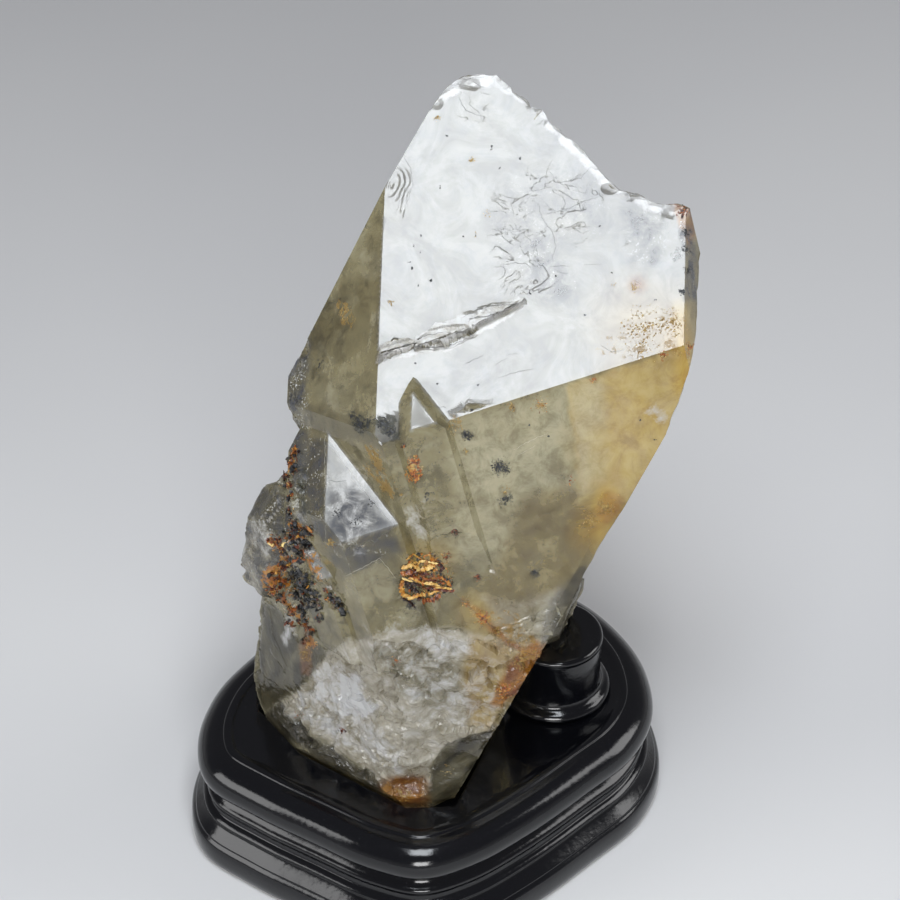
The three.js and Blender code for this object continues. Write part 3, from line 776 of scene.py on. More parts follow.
# Patches that weaken a look's zones again, and by how much.
WEAKENED = {
    # Frost fades on the brown break, and in the hollow of the base as painted shade.
    "frost": (0.75, [(BROWN_BREAK, 8, 1.0), (BASE_HOLLOW, 8, 0.8)]),
    "amber": (0.55, [(YELLOW_BORDER, 8, 1.0)]),
}
LOOKS = ["frost", "iron", "ochre", "amber", "moss", "smoke", "milk", "pale", "orange", "haze", "dull", "etch"]


def grain_of(stone, crust, glassy):
    """How rough each point's surface is to the eye."""
    grain = np.maximum(stone.by_break * (1 - 0.75 * step(0.2, 0.7, glassy)), step(0.3, 0.7, crust))
    return grain * ((1 - 0.8 * stone.zone(CLEAR_ZONES)) * (1 - 0.45 * stone.zone([(BASE_BREAK, 4, 1.0)])))


def build_stone():
    stone = Stone()
    crust, glassy = stone.field(CRUST), stone.field(GLASSY)
    stone.roughen(crust, glassy)
    fields = {name: stone.look(name) for name in LOOKS}
    fields["grain"] = grain_of(stone, crust, glassy)
    # The bright face, where the colour gets a painted silvery sheen.
    fields["bright"] = stone.on_plane[:, BRIGHT].astype(float)
    flat = np.zeros(len(stone.faces), bool)
    piece = make_mesh("quartz_stone", stone.points, stone.faces, flat, fields)
    piece.data.materials.append(quartz_material())
    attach(piece, "root")
    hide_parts("quartz_cluster")
    stone.surface = BVHTree.FromPolygons(stone.points.tolist(), stone.faces.tolist())
    return stone


# Crusts and grains
GOLD_PATCH = [
    (400, 566), (408, 556), (420, 552), (434, 553), (444, 564), (450, 574), (457, 587), (446, 597),
    (430, 602), (412, 596), (402, 582),
]
# How deep a stroke's ridge stands in the stone and how far out of it, in millimetres.
STROKE_FOOT, STROKE_RIDGE = 0.04, 0.05
# Cracks and splinter lines: pixels along each, and its width in millimetres.
STROKES = [
    ([(380, 357), (392, 350), (405, 345), (416, 343)], 0.55), ([(413, 342), (427, 335), (447, 332)], 0.25),
    ([(447, 333), (456, 333), (464, 331), (474, 336)], 0.4),
    ([(474, 336), (454, 344), (434, 348), (416, 346)], 0.3),
    ([(463, 317), (478, 310), (491, 306), (519, 304)], 0.3),
    ([(519, 304), (503, 312), (488, 316), (474, 318)], 0.35),
    ([(422, 344), (430, 341), (440, 342)], 0.2), ([(446, 338), (456, 337), (466, 338)], 0.22),
    ([(500, 265), (514, 263), (527, 264), (531, 269)], 0.2), ([(550, 266), (570, 266)], 0.18),
    ([(557, 271), (568, 274)], 0.15), ([(584, 265), (602, 264)], 0.15),
    ([(463, 365), (477, 358), (484, 355)], 0.18), ([(495, 365), (507, 358)], 0.15),
    ([(507, 355), (518, 353)], 0.15), ([(498, 378), (516, 372), (534, 369)], 0.2),
    ([(427, 405), (438, 407), (447, 408)], 0.2), ([(447, 412), (456, 408), (466, 406)], 0.2),
    ([(550, 171), (556, 183), (570, 181), (581, 178), (591, 167)], 0.15),
    ([(545, 203), (556, 212), (570, 208), (584, 201), (599, 197)], 0.15),
    ([(538, 203), (541, 217), (549, 228), (552, 231), (556, 246), (552, 260)], 0.15),
    ([(459, 97), (465, 110), (477, 115), (484, 117)], 0.18), ([(473, 81), (481, 87)], 0.15),
    ([(463, 80), (477, 77), (488, 78)], 0.18), ([(327, 480), (338, 482), (346, 480)], 0.18),
    ([(452, 593), (464, 602), (475, 612)], 0.2), ([(475, 612), (486, 621), (495, 630)], 0.3),
    ([(402, 155), (411, 168), (413, 186), (406, 205)], 0.15),
    ([(396, 160), (404, 172), (405, 190), (396, 212)], 0.15),
    ([(520, 230), (534, 244), (540, 262)], 0.12), ([(570, 225), (582, 234), (590, 230)], 0.12),
    ([(600, 345), (612, 352), (625, 350)], 0.15), ([(385, 215), (384, 228)], 0.2),
]
# Pale lines: painted highlights along the edges of the small points and of the shelf below them, and two
# faint pale lines on the front face.
PALE_HIGHLIGHT_STROKES = [
    ([(513, 450), (530, 441), (548, 433)], 0.1), ([(518, 455), (535, 446)], 0.08),
    ([(345, 576), (362, 568), (380, 558)], 0.1), ([(380, 558), (388, 568), (396, 579)], 0.1),
    ([(325, 436), (325, 500), (326, 538)], 0.08), ([(413, 394), (424, 410), (436, 425)], 0.08),
    ([(326, 435), (356, 478), (388, 523)], 0.08),
]


def along_path(pixels):
    """A path of pixels as an array, and how far along it each of them lies."""
    pixels = np.array(pixels, float)
    return pixels, np.concatenate([[0], np.cumsum(np.linalg.norm(np.diff(pixels, axis=0), axis=1))])


def way_at(hits, i):
    """The direction of a run of (spot, normal) at one of them, from its neighbours."""
    return hits[min(i + 1, len(hits) - 1)][0] - hits[max(i - 1, 0)][0]


class Heap:
    """Many small closed bodies gathered in one mesh, each with a tone of its own."""

    def __init__(self, seed):
        self.rng = np.random.default_rng(seed)
        self.points, self.faces, self.tones = [], [], []

    def add(self, points, faces, tone):
        start = sum(len(p) for p in self.points)
        self.points.append(points)
        self.faces += [[start + i for i in face] for face in faces]
        self.tones.append(np.full(len(points), tone))

    def plate(self, at, up, across, width, depth, thick, tone):
        """An irregular thin plate with a slightly domed top."""
        rng = self.rng
        count = rng.integers(4, 7)
        angles = (np.arange(count) + rng.uniform(-0.35, 0.35, count)) * 2 * math.pi / count
        reach = rng.uniform(0.55, 1.25, count)
        side = np.cross(up, across)
        rim = at + np.outer(reach * width * np.cos(angles), across)
        rim = rim + np.outer(reach * depth * np.sin(angles), side)
        lift = rng.uniform(0.6, 1.2, (count, 1)) * thick / 2
        points = np.vstack([rim + lift * up, rim - lift * up, at + thick * up, at - thick * up * 0.6])
        faces = []
        for i in range(count):
            j = (i + 1) % count
            faces += [[i, j, 2 * count], [count + j, count + i, 2 * count + 1], [i, count + i, count + j, j]]
        self.add(points, faces, tone)

    def grain(self, at, size, tone):
        """A small angular lump: an uneven ball of twenty faces."""
        rng = self.rng
        ball = LUMP_POINTS * rng.uniform(0.6, 1.25, (len(LUMP_POINTS), 1))
        turn, _ = np.linalg.qr(rng.normal(size=(3, 3)))
        if np.linalg.det(turn) < 0:
            turn[:, 0] *= -1
        self.add(at + size * (ball * [1, 0.8, 0.7]) @ turn.T, LUMP_FACES, tone)

    def stroke(self, surface, pixels, width, tone):
        """A thin tapering ridge along a line of pixels: a crack, a splinter's edge, or a pale painted edge
        highlight.
        """
        pixels, along = along_path(pixels)
        places = np.linspace(0, along[-1], max(4, int(along[-1] / 2)))
        jitter = self.rng.normal(0, 0.35, (2, len(places)))
        hits = []
        for x, y in zip(np.interp(places, along, pixels[:, 0]) + jitter[0],
                        np.interp(places, along, pixels[:, 1]) + jitter[1]):
            spot, normal = surface_hit(surface, x, y)
            if spot is not None:
                hits.append((spot, normal))
        points = []
        for i, (spot, normal) in enumerate(hits):
            side = np.cross(normal, way_at(hits, i))
            side /= max(np.linalg.norm(side), 1e-9)
            half = width / 2 * (0.25 + 0.75 * math.sin(math.pi * (i + 0.5) / len(hits)))
            points += [spot + sign * half * side - STROKE_FOOT * normal for sign in (-1, 1)]
            points.append(spot + STROKE_RIDGE * normal)
        faces = [[0, 2, 1]]
        for i in range(len(hits) - 1):
            a = 3 * i
            for left, right in ((0, 1), (1, 2), (2, 0)):
                faces.append([a + left, a + right, a + 3 + right, a + 3 + left])
        last = 3 * (len(hits) - 1)
        faces.append([last, last + 1, last + 2])
        self.add(np.array(points), faces, tone)

    def band(self, surface, pixels, half, lift, tone):
        """Overlapping flakes along a line of pixels, leaning back like shingles."""
        rng = self.rng
        pixels, along = along_path(pixels)
        places = np.arange(0, along[-1] + 0.1, 1.7)
        hits = [surface_hit(surface, np.interp(t, along, pixels[:, 0]), np.interp(t, along, pixels[:, 1]))
                for t in places]
        for i, (spot, normal) in enumerate(hits):
            way = way_at(hits, i)
            way = way / np.linalg.norm(way) + 0.2 * rng.normal(size=3)
            way -= (way @ normal) * normal
            way /= np.linalg.norm(way)
            lean = rng.normal(0.35, 0.25)
            up = math.cos(lean) * normal + math.sin(lean) * np.cross(normal, way)
            at = spot + (lift + rng.uniform(-0.1, 0.15)) * normal
            size = rng.uniform(0.5, 1.0)
            self.plate(at, up, way, size, half * rng.uniform(0.6, 1.1), 0.18, tone + rng.normal(0, 0.09))

    def finish(self, name, material, slot):
        piece = make_mesh(name, np.vstack(self.points), self.faces, np.zeros(len(self.faces), bool),
                          {"tone": np.concatenate(self.tones)})
        piece.data.materials.append(material)
        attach(piece, "root")
        return piece


def lump_shape():
    work = bmesh.new()
    bmesh.ops.create_icosphere(work, subdivisions=1, radius=1)
    points = np.array([v.co for v in work.verts])
    faces = [[v.index for v in f.verts] for f in work.faces]
    work.free()
    return points, faces


LUMP_POINTS, LUMP_FACES = lump_shape()


def scatter(stone, outline, count, rng):
    """Random places on the stone inside an outline, each with its outward normal."""
    low, high = np.min(outline, axis=0), np.max(outline, axis=0)
    found = []
    while len(found) < count:
        px, py = rng.uniform(low, high)
        if depth_inside(px, py, outline) < 0:
            continue
        spot, normal = surface_hit(stone.surface, px, py)
        if spot is not None:
            found.append((spot, normal))
    return found


def strewn(stone, rng, x, y, radius, count, gather):
    """Random places on the stone round a pixel, with their normals and distances from it."""
    for _ in range(count):
        angle, reach = rng.uniform(0, 2 * math.pi), radius * rng.uniform() ** gather
        spot, normal = surface_hit(stone.surface, x + reach * math.cos(angle), y + reach * math.sin(angle))
        if spot is not None:
            yield spot, normal, reach


def any_way(rng, normal, spread):
    """A direction near `normal` and one across it."""
    up = normal + spread * rng.normal(size=3)
    up /= np.linalg.norm(up)
    along = np.cross(up, rng.normal(size=3))
    return up, along / np.linalg.norm(along)


# The gold patch is built of bands: pixels along each, half width and lift in millimetres, tone. The bands
# with tones over 1 are painted glint streaks.
GOLD_BANDS = [
    ([(406, 584), (412, 588), (418, 592)], 0.8, 0.0, 0.06),
    ([(406, 582), (413, 583), (421, 586)], 0.5, 0.05, 0.1),
    ([(404, 599), (411, 603), (414, 606)], 0.5, 0.05, 0.08),
    ([(438, 563), (443, 568), (441, 572)], 0.7, 0.05, 0.14),
    ([(424, 600), (432, 600), (438, 596)], 0.8, 0.15, 0.33),
    ([(410, 570), (418, 573), (428, 574)], 0.4, 0.1, 0.2),
    ([(403, 573), (410, 572), (416, 577), (422, 581)], 0.8, 0.3, 0.42),
    ([(411, 577), (418, 579), (425, 583)], 0.55, 0.5, 0.62), ([(403, 577), (411, 580)], 0.3, 0.8, 1.1),
    ([(425, 578), (434, 580), (444, 583)], 0.3, 0.3, 0.3),
    ([(426, 582), (433, 583), (439, 585)], 0.5, 0.5, 0.8),
    ([(424, 587), (432, 588), (440, 589), (453, 590)], 0.45, 0.4, 0.3),
    ([(436, 586), (446, 587), (451, 588)], 0.3, 0.6, 0.8),
    ([(441, 577), (447, 581), (450, 585)], 0.5, 0.2, 0.56),
    ([(402, 581), (401, 588), (404, 594), (412, 597)], 0.8, 0.4, 0.66),
    ([(411, 597), (420, 594), (428, 593), (437, 590)], 0.6, 0.5, 0.72),
    ([(404, 567), (412, 564), (420, 568), (428, 568), (435, 562)], 0.8, 0.4, 0.74),
    ([(408, 558), (414, 554), (420, 558)], 0.25, 0.1, 0.62),
    ([(424, 556), (430, 554), (432, 562)], 0.25, 0.1, 0.62),
    ([(416, 562), (424, 560)], 0.35, 0.3, 0.78), ([(430, 561), (436, 562)], 0.3, 0.7, 1.05),
]
# Stains from this tone up are made of ochre specks, the others of iron flakes.
OCHRE_TONE = 0.55
# Stains of fine flakes: middle and radius in pixels, how many, sizes in millimetres, tone.
STAINS = [
    (414, 462, 7, 60, 0.2, 0.6, 0.45), (413, 474, 9, 110, 0.25, 0.75, 0.5),
    (412, 467, 6, 40, 0.2, 0.5, 0.8), (404, 446, 4, 14, 0.15, 0.4, 0.2),
    (375, 456, 9, 55, 0.12, 0.4, 0.6), (369, 470, 8, 40, 0.12, 0.4, 0.6), (386, 484, 9, 50, 0.12, 0.4, 0.55),
    (345, 312, 8, 45, 0.12, 0.45, 0.66), (391, 303, 4, 18, 0.12, 0.35, 0.62),
    (487, 213, 5, 16, 0.1, 0.3, 0.6),
    (437, 118, 4, 20, 0.15, 0.4, 0.62), (472, 160, 4, 20, 0.15, 0.4, 0.62), (593, 380, 4, 20, 0.15, 0.4, 0.5),
    (511, 407, 5, 28, 0.15, 0.45, 0.55), (455, 425, 9, 30, 0.1, 0.35, 0.6), (540, 405, 10, 26, 0.1, 0.3, 0.5),
    (478, 578, 4, 30, 0.2, 0.5, 0.25), (447, 555, 5, 26, 0.2, 0.5, 0.3), (455, 532, 4, 30, 0.2, 0.5, 0.15),
    (330, 543, 6, 40, 0.2, 0.6, 0.62), (342, 731, 4, 26, 0.2, 0.6, 0.2), (664, 355, 6, 26, 0.15, 0.4, 0.5),
    (640, 352, 12, 50, 0.12, 0.4, 0.55), (645, 328, 26, 190, 0.12, 0.42, 0.62),
    (672, 322, 15, 110, 0.12, 0.45, 0.62), (605, 508, 9, 60, 0.15, 0.5, 0.6),
    (592, 520, 7, 40, 0.15, 0.45, 0.6), (635, 287, 7, 34, 0.12, 0.35, 0.62),
    (614, 285, 3, 8, 0.1, 0.3, 0.6), (505, 490, 5, 16, 0.12, 0.4, 0.55), (466, 452, 4, 12, 0.12, 0.4, 0.55),
    (570, 480, 6, 16, 0.12, 0.35, 0.5), (690, 348, 7, 30, 0.15, 0.5, 0.5), (682, 212, 8, 40, 0.2, 0.6, 0.3),
    (505, 690, 10, 60, 0.2, 0.6, 0.5), (520, 662, 9, 60, 0.2, 0.6, 0.55), (483, 617, 7, 60, 0.2, 0.55, 0.5),
    (497, 631, 5, 20, 0.2, 0.5, 0.55), (466, 604, 4, 14, 0.15, 0.35, 0.45), (403, 794, 9, 46, 0.2, 0.6, 0.55),
    (447, 770, 7, 14, 0.12, 0.3, 0.7), (300, 715, 6, 16, 0.15, 0.4, 0.4), (306, 655, 7, 40, 0.2, 0.5, 0.55),
    (395, 660, 6, 16, 0.12, 0.35, 0.4), (475, 236, 5, 5, 0.1, 0.25, 0.6),
]
# Moss-dark clusters: middle and radius in pixels, how many, sizes in millimetres.
MOSS_CLUSTERS = [
    (361, 424, 9, 150, 0.15, 0.5), (353, 416, 5, 40, 0.15, 0.4), (383, 424, 7, 80, 0.15, 0.45),
    (391, 432, 6, 70, 0.15, 0.45), (370, 420, 6, 50, 0.1, 0.35), (467, 435, 6, 50, 0.15, 0.45),
    (498, 466, 7, 80, 0.15, 0.5), (506, 470, 5, 40, 0.15, 0.4), (505, 500, 5, 40, 0.12, 0.4),
    (535, 573, 4, 36, 0.15, 0.4), (411, 605, 5, 40, 0.15, 0.45), (428, 496, 7, 36, 0.1, 0.35),
    (686, 250, 5, 40, 0.15, 0.5), (688, 270, 5, 36, 0.15, 0.5), (682, 292, 4, 30, 0.15, 0.45),
    (686, 232, 5, 36, 0.15, 0.5), (336, 512, 6, 30, 0.1, 0.3), (356, 522, 7, 34, 0.1, 0.3),
    (372, 502, 6, 24, 0.1, 0.3), (306, 532, 7, 60, 0.2, 0.55), (300, 350, 8, 24, 0.1, 0.35),
    (310, 330, 9, 30, 0.1, 0.35), (320, 365, 10, 36, 0.1, 0.35), (296, 400, 8, 40, 0.15, 0.4),
]
# Single dark specks on the bright face and below it.
SPECKS = [
    (440, 187), (464, 236), (418, 285), (530, 293), (599, 226), (612, 272), (415, 363), (437, 383),
    (478, 385), (475, 236), (447, 136), (492, 146), (491, 150), (414, 246), (420, 252), (421, 236),
    (431, 280), (409, 262), (556, 276), (500, 168), (520, 158), (655, 300), (585, 315), (412, 268),
    (440, 452), (472, 410), (530, 425), (548, 436), (430, 470), (460, 465), (640, 420), (655, 440),
]


def flat_flakes(stone, heap, x, y, radius, count, low, high, tone):
    """Thin flakes strewn on the surface round a pixel, thinning out from its middle."""
    rng = heap.rng
    for spot, normal, reach in strewn(stone, rng, x, y, radius, count, 0.8):
        up, along = any_way(rng, normal, 0.12)
        size = rng.uniform(low, high) * (1.1 - 0.5 * reach / radius)
        heap.plate(spot, up, along, size, size * rng.uniform(0.45, 0.9), 0.1, tone + rng.normal(0, 0.13))


def fill_gold_patch(stone, iron):
    """Shingled bands, with small flakes and a few lumps between them."""
    rng = iron.rng
    for band in GOLD_BANDS:
        iron.band(stone.surface, *band)
    for spot, normal in scatter(stone, GOLD_PATCH, 150, rng):
        up, along = any_way(rng, normal, 0.5)
        size = rng.uniform(0.12, 0.42)
        iron.plate(spot, up, along, size, size * 0.65, 0.16, 0.46 + rng.normal(0, 0.22))
    for spot, normal in scatter(stone, GOLD_PATCH, 14, rng):
        iron.grain(spot + 0.1 * normal, rng.uniform(0.4, 0.8), rng.uniform(0.1, 0.6))


def pile_clump(stone, iron, black, x, y, radius, red):
    """One clump of the crust on the left: red plates and black grains, highest in its middle."""
    rng = iron.rng
    for spot, normal, reach in strewn(stone, rng, x, y, radius, int(1.1 * radius * radius), 0.6):
        high = 1 - reach / radius
        at = spot + normal * rng.uniform(-0.1, 0.2 + 0.8 * high)
        size = 0.15 + 0.95 * rng.uniform() ** 3
        if rng.uniform() < red:
            up, along = any_way(rng, normal, 0.6)
            # About one plate in sixteen is made lighter as a painted glint.
            shade = 0.25 + 0.16 * high + rng.normal(0, 0.16) + (rng.uniform() < 0.06) * 0.4
            iron.plate(at, up, along, size, size * 0.65, 0.16, shade)
        else:
            black.grain(at, size, rng.uniform())


def build_crusts(stone):
    iron, black, ochre, lines = (Heap(seed) for seed in (5, 9, 7, 13))
    fill_gold_patch(stone, iron)
    for clump in CLUMPS:
        pile_clump(stone, iron, black, *clump)
    for stain in STAINS:
        flat_flakes(stone, ochre if stain[-1] >= OCHRE_TONE else iron, *stain)
    iron.finish("iron_flakes", iron_material(), "iron_crust")
    ochre.finish("ochre_specks", ochre_material(), "iron_crust")

    rng = iron.rng
    for spot, _ in scatter(stone, GOLD_PATCH, 90, rng):
        black.grain(spot, rng.uniform(0.2, 0.55), rng.uniform())
    for cluster in MOSS_CLUSTERS:
        flat_flakes(stone, black, *cluster, 0.35)
    for speck in SPECKS:
        flat_flakes(stone, black, *speck, 1.2, 2, 0.25, 0.45, 0.3)
    black.finish("black_grains", black_material(), "dark_crust")

    # Dark cracks first, then the pale lines of painted edge highlight.
    for strokes, tone in ((STROKES, 0.4), (PALE_HIGHLIGHT_STROKES, 0.95)):
        for pixels, width in strokes:
            lines.stroke(stone.surface, pixels, width, tone)
    lines.finish("crack_and_highlight_lines", crack_and_highlight_material(), "dark_crust")


# The stand
RING = 288
STAND_LOW, STAND_HIGH = (np.array(v) / MM for v in cad_bounds)
BOARD_TOP, BOARD_UNDER = 34.5, 23.2
SHOULDER, SHOULDER_DROP = 7.2, 6.0
# The flat middle of the board lies inside a raised line, and lower than it.
LINE_INSET, MIDDLE_INSET, MIDDLE_DROP = 9.2, 10.4, 0.35
PLINTH_FOOT_OFFSET = 0.6
# Profiles from the bottom up: how far out of the stand's outline, and height.
PLINTH_PROFILE = [
    (0.6, 0), (2.3, 0.9), (3, 3), (3, 6), (2.6, 7.9), (1.7, 8.9), (1.5, 9.3), (1.2, 9.6), (-0.3, 11.0),
    (-1.4, 12.2), (-1.5, 12.9), (-0.9, 13.5), (-0.8, 14.1), (-1.6, 14.8), (-2.6, 15.4), (-2.8, 17),
    (-2.3, 17.9), (-1.9, 18.6), (-2.2, 19.4), (-3.2, 20.2), (-4.2, 21.4), (-4.4, BOARD_UNDER - 0.3),
]
BOARD_FOOT = [(-3.6, BOARD_UNDER), (-1.4, BOARD_UNDER + 1.2), (-0.3, BOARD_UNDER + 3)]
BOARD_LINE = [
    (-7.55, BOARD_TOP - 0.15), (-8.2, BOARD_TOP), (-LINE_INSET, BOARD_TOP),
    (-MIDDLE_INSET, BOARD_TOP - MIDDLE_DROP),
]
# The socket's rounded lip: how far inwards, and how far below the board's middle.
SOCKET_LIP = [(-0.5, 0.0), (-0.2, 0.08), (0, 0.3), (0.05, 0.8), (0.05, 4.2)]
# The post's radius at heights over its foot, then at depths under its top.
POST_FOOT = [(15.6, 0), (15.9, 0.9), (15.2, 2), (13.9, 2.8), (13.1, 4.2), (12.9, 9)]
POST_HEAD = [(13.1, 2.2), (13.2, 1.3), (13.0, 0.6), (12.5, 0.15), (11.9, 0), (11, 0)]


def upsampled(values, count):
    """A closed run of complex points, smoothly filled in to `count` points."""
    spectrum = np.fft.fft(values)
    size = len(values)
    wide = np.zeros(count, complex)
    half = size // 2
    wide[:half], wide[-half:] = spectrum[:half], spectrum[-half:]
    return np.fft.ifft(wide) * count / size


def stand_outline():
    """The stand's outline and its outward directions, from the lowest ring of the plinth."""
    spots = np.array([v.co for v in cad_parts["stand_plinth"].data.vertices]) / MM
    foot = np.unique(np.round(spots[spots[:, 2] < 0.01][:, :2], 3), axis=0)
    foot = foot[np.linalg.norm(foot, axis=1) > 20]
    around = np.argsort(np.arctan2(foot[:, 1], foot[:, 0]))
    ring = upsampled(foot[around, 0] + 1j * foot[around, 1], RING)
    way = np.roll(ring, -1) - np.roll(ring, 1)
    outward = -1j * way / abs(way)
    return ring - PLINTH_FOOT_OFFSET * outward, outward


def rounded(profile, steps=4):
    """A smooth run through the (offset, height) points of a moulding."""
    p = np.array(profile, float)
    p = np.vstack([2 * p[0] - p[1], p, 2 * p[-1] - p[-2]])
    out = []
    for i in range(1, len(p) - 2):
        for t in np.arange(steps) / steps:
            a, b, c, d = p[i - 1:i + 3]
            out.append(0.5 * (2 * b + (c - a) * t + (2 * a - 5 * b + 4 * c - d) * t**2
                              + (3 * b - a - 3 * c + d) * t**3))
    return out + [p[-2]]


def loft(name, rows, middle):
    """A closed solid through rings of (complex ring, height), from the bottom up."""
    points = np.vstack([
        np.column_stack([ring.real, ring.imag, np.broadcast_to(height, ring.shape)]) for ring, height in rows
    ])
    faces = []
    last = len(rows) - 1
    count = len(rows[0][0])
    for row in range(last):
        for i in range(count):
            j = (i + 1) % count
            low, high = row * count, (row + 1) * count
            faces.append([low + i, low + j, high + j, high + i])
    under = len(points)
    ends = [[*middle, np.mean(rows[0][1])], [*middle, np.mean(rows[-1][1])]]
    points = np.vstack([points, ends])
    for i in range(count):
        j = (i + 1) % count
        faces += [[under, j, i], [under + 1, last * count + i, last * count + j]]
    piece = make_mesh(name, np.clip(points, STAND_LOW, STAND_HIGH), faces)
    piece.data.materials.append(LACQUER)
    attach(piece, "root")
    return piece


def socket_outline(outline, outward):
    """The socket's rim, seen from its middle in step with the outline's points."""
    spots = np.array([v.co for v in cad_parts["stand_board"].data.vertices]) / MM
    top = spots[spots[:, 2] > BOARD_TOP - 0.01]
    flat = np.unique(np.round(top[:, 0] + 1j * top[:, 1], 3))
    rim = outline - LINE_INSET * outward
    gap = abs(flat[:, None] - rim[None, :]).min(axis=1)
    corners = flat[gap > 1.5]
    middle = corners.mean()
    corners = corners[np.argsort(np.angle(corners - middle))]
    reach = []
    for angle in np.angle(outline - middle):
        way = np.exp(1j * angle)
        best = 0
        for a, b in zip(corners, np.roll(corners, -1)):
            side = b - a
            cross = (way.conjugate() * side).imag
            if abs(cross) < 1e-9:
                continue
            t = -((way.conjugate() * (a - middle)).imag) / cross
            along = ((a - middle + t * side) / way).real
            if -1e-9 <= t <= 1 + 1e-9 and along > 0:
                best = max(best, along)
        reach.append(best)
    return middle, middle + np.array(reach) * np.exp(1j * np.angle(outline - middle))


def build_plinth(outline, outward):
    rows = [(outline + d * outward, z) for d, z in rounded(PLINTH_PROFILE)]
    piece = loft("plinth_moulding", rows, (0, 0))
    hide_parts("stand_plinth")


def build_board(outline, outward):
    edge = list(BOARD_FOOT)
    for turn in np.radians(np.arange(0, 91, 15)):
        height = BOARD_TOP - 0.5 - SHOULDER_DROP * (1 - math.sin(turn))
        edge.append((SHOULDER * (math.cos(turn) - 1), height))
    edge += BOARD_LINE
    rows = [(outline + d * outward, z) for d, z in rounded(edge, 3)]
    middle, socket = socket_outline(outline, outward)
    inner = outline - MIDDLE_INSET * outward
    flat = BOARD_TOP - MIDDLE_DROP
    for share in (0.08, 0.35, 0.65, 0.9):
        rows.append((inner + share * (socket - inner), flat))
    lip = (socket - middle) / abs(socket - middle)
    for inwards, drop in SOCKET_LIP:
        rows.append((socket - inwards * lip, flat - drop))
    piece = loft("board_moulding", rows, (middle.real, middle.imag))
    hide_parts("stand_board")


def build_post():
    low, high = (np.array(v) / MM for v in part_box("support_post"))
    middle = (low + high)[:2] / 2
    around = np.exp(2j * math.pi * np.arange(96) / 96)
    profile = [(r, low[2] + z) for r, z in POST_FOOT] + [(r, high[2] - z) for r, z in POST_HEAD]
    rings = [(middle[0] + 1j * middle[1] + r * around, z) for r, z in rounded(profile, 3)]
    piece = loft("post_turning", rings, middle)
    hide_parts("support_post")


def build_stand():
    outline, outward = stand_outline()
    build_plinth(outline, outward)
    build_board(outline, outward)
    build_post()


# Materials
class Nodes:
    """A small helper that adds nodes to a material and links them by name."""

    def __init__(self, name):
        self.material = bpy.data.materials.new(name)
        self.material.use_nodes = True
        self.tree = self.material.node_tree
        self.tree.nodes.clear()

    def add(self, kind, settings=None, **inputs):
        node = self.tree.nodes.new("ShaderNode" + kind)
        for key, value in (settings or {}).items():
            setattr(node, key, value)
        for key, value in inputs.items():
            self.put(node, key.replace("_", " "), value)
        return node

    def put(self, node, key, value):
        socket = node.inputs[int(key)] if key.isdigit() else node.inputs[key]
        if isinstance(value, bpy.types.NodeSocket):
            self.tree.links.new(value, socket)
        else:
            socket.default_value = value

    def field(self, name):
        return self.add("Attribute", {"attribute_name": name}).outputs["Fac"]

    def math(self, operation, a, b=0.0, clamp=False):
        node = self.add("Math", {"operation": operation, "use_clamp": clamp})
        self.put(node, "0", a)
        self.put(node, "1", b)
        return node.outputs[0]

    def plus(self, a, b):
        return self.math("ADD", a, b)

    def minus(self, a, b, clamp=False):
        return self.math("SUBTRACT", a, b, clamp)

    def times(self, a, b, clamp=False):
        return self.math("MULTIPLY", a, b, clamp)

    def past(self, value, level, gain):
        """How far value is past level, times gain, from 0 to 1."""
        return self.times(self.minus(value, level, clamp=True), gain, clamp=True)

    def noise(self, where, scale, detail=4.0, roughness=0.55, distortion=0.0):
        node = self.add("TexNoise", Vector=where, Scale=scale, Detail=detail, Roughness=roughness)
        self.put(node, "Distortion", distortion)
        return node.outputs["Fac"]

    def ramp(self, value, stops):
        """A colour ramp through (place, colour) stops."""
        node = self.add("ValToRGB", Fac=value)
        marks = node.color_ramp.elements
        while len(marks) < len(stops):
            marks.new(0.5)
        for mark, (place, colour) in zip(marks, stops):
            mark.position = place
            mark.color = (*colour, 1.0)
        return node.outputs["Color"]

    def mix(self, share, a, b):
        node = self.add("Mix", {"data_type": "RGBA"})
        self.put(node, "0", share)
        self.put(node, "6", a if isinstance(a, bpy.types.NodeSocket) else (*a, 1.0))
        self.put(node, "7", b if isinstance(b, bpy.types.NodeSocket) else (*b, 1.0))
        return node.outputs[2]

    def multiply(self, a, b):
        node = self.add("Mix", {"data_type": "RGBA", "blend_type": "MULTIPLY"})
        for socket, value in (("0", 1.0), ("6", a), ("7", b)):
            self.put(node, socket, value)
        return node.outputs[2]

    def thin_lines(self, value):
        """Thin wandering lines, 1 where a noise crosses its middle value."""
        away = self.math("ABSOLUTE", self.minus(value, 0.5))
        return self.minus(1.0, self.times(away, 100.0), clamp=True)

    def blend(self, share, a, b):
        node = self.add("Mix", {"data_type": "FLOAT"})
        for socket, value in (("0", share), ("2", a), ("3", b)):
            self.put(node, socket, value)
        return node.outputs[0]

    def ragged(self, field, grain, reach, sharpness):
        """Turns a soft field into a patch with an edge that follows the noise `grain`."""
        lifted = self.minus(self.plus(field, self.times(self.minus(grain, 0.5), reach)), 0.5)
        patch = self.math("ADD", self.times(lifted, sharpness), 0.5, clamp=True)
        return self.times(patch, self.times(field, 9.0, clamp=True))

    def bump(self, height, strength, distance):
        return self.add("Bump", Strength=strength, Distance=distance, Height=height).outputs[0]

    def finish(self, volume=None, **looks):
        """Ends the material in one shader, with the looks on its own sockets."""
        shader = self.add("BsdfPrincipled", **looks)
        out = self.add("OutputMaterial", Surface=shader.outputs[0])
        if volume is not None:
            self.put(out, "Volume", volume)
        return self.material


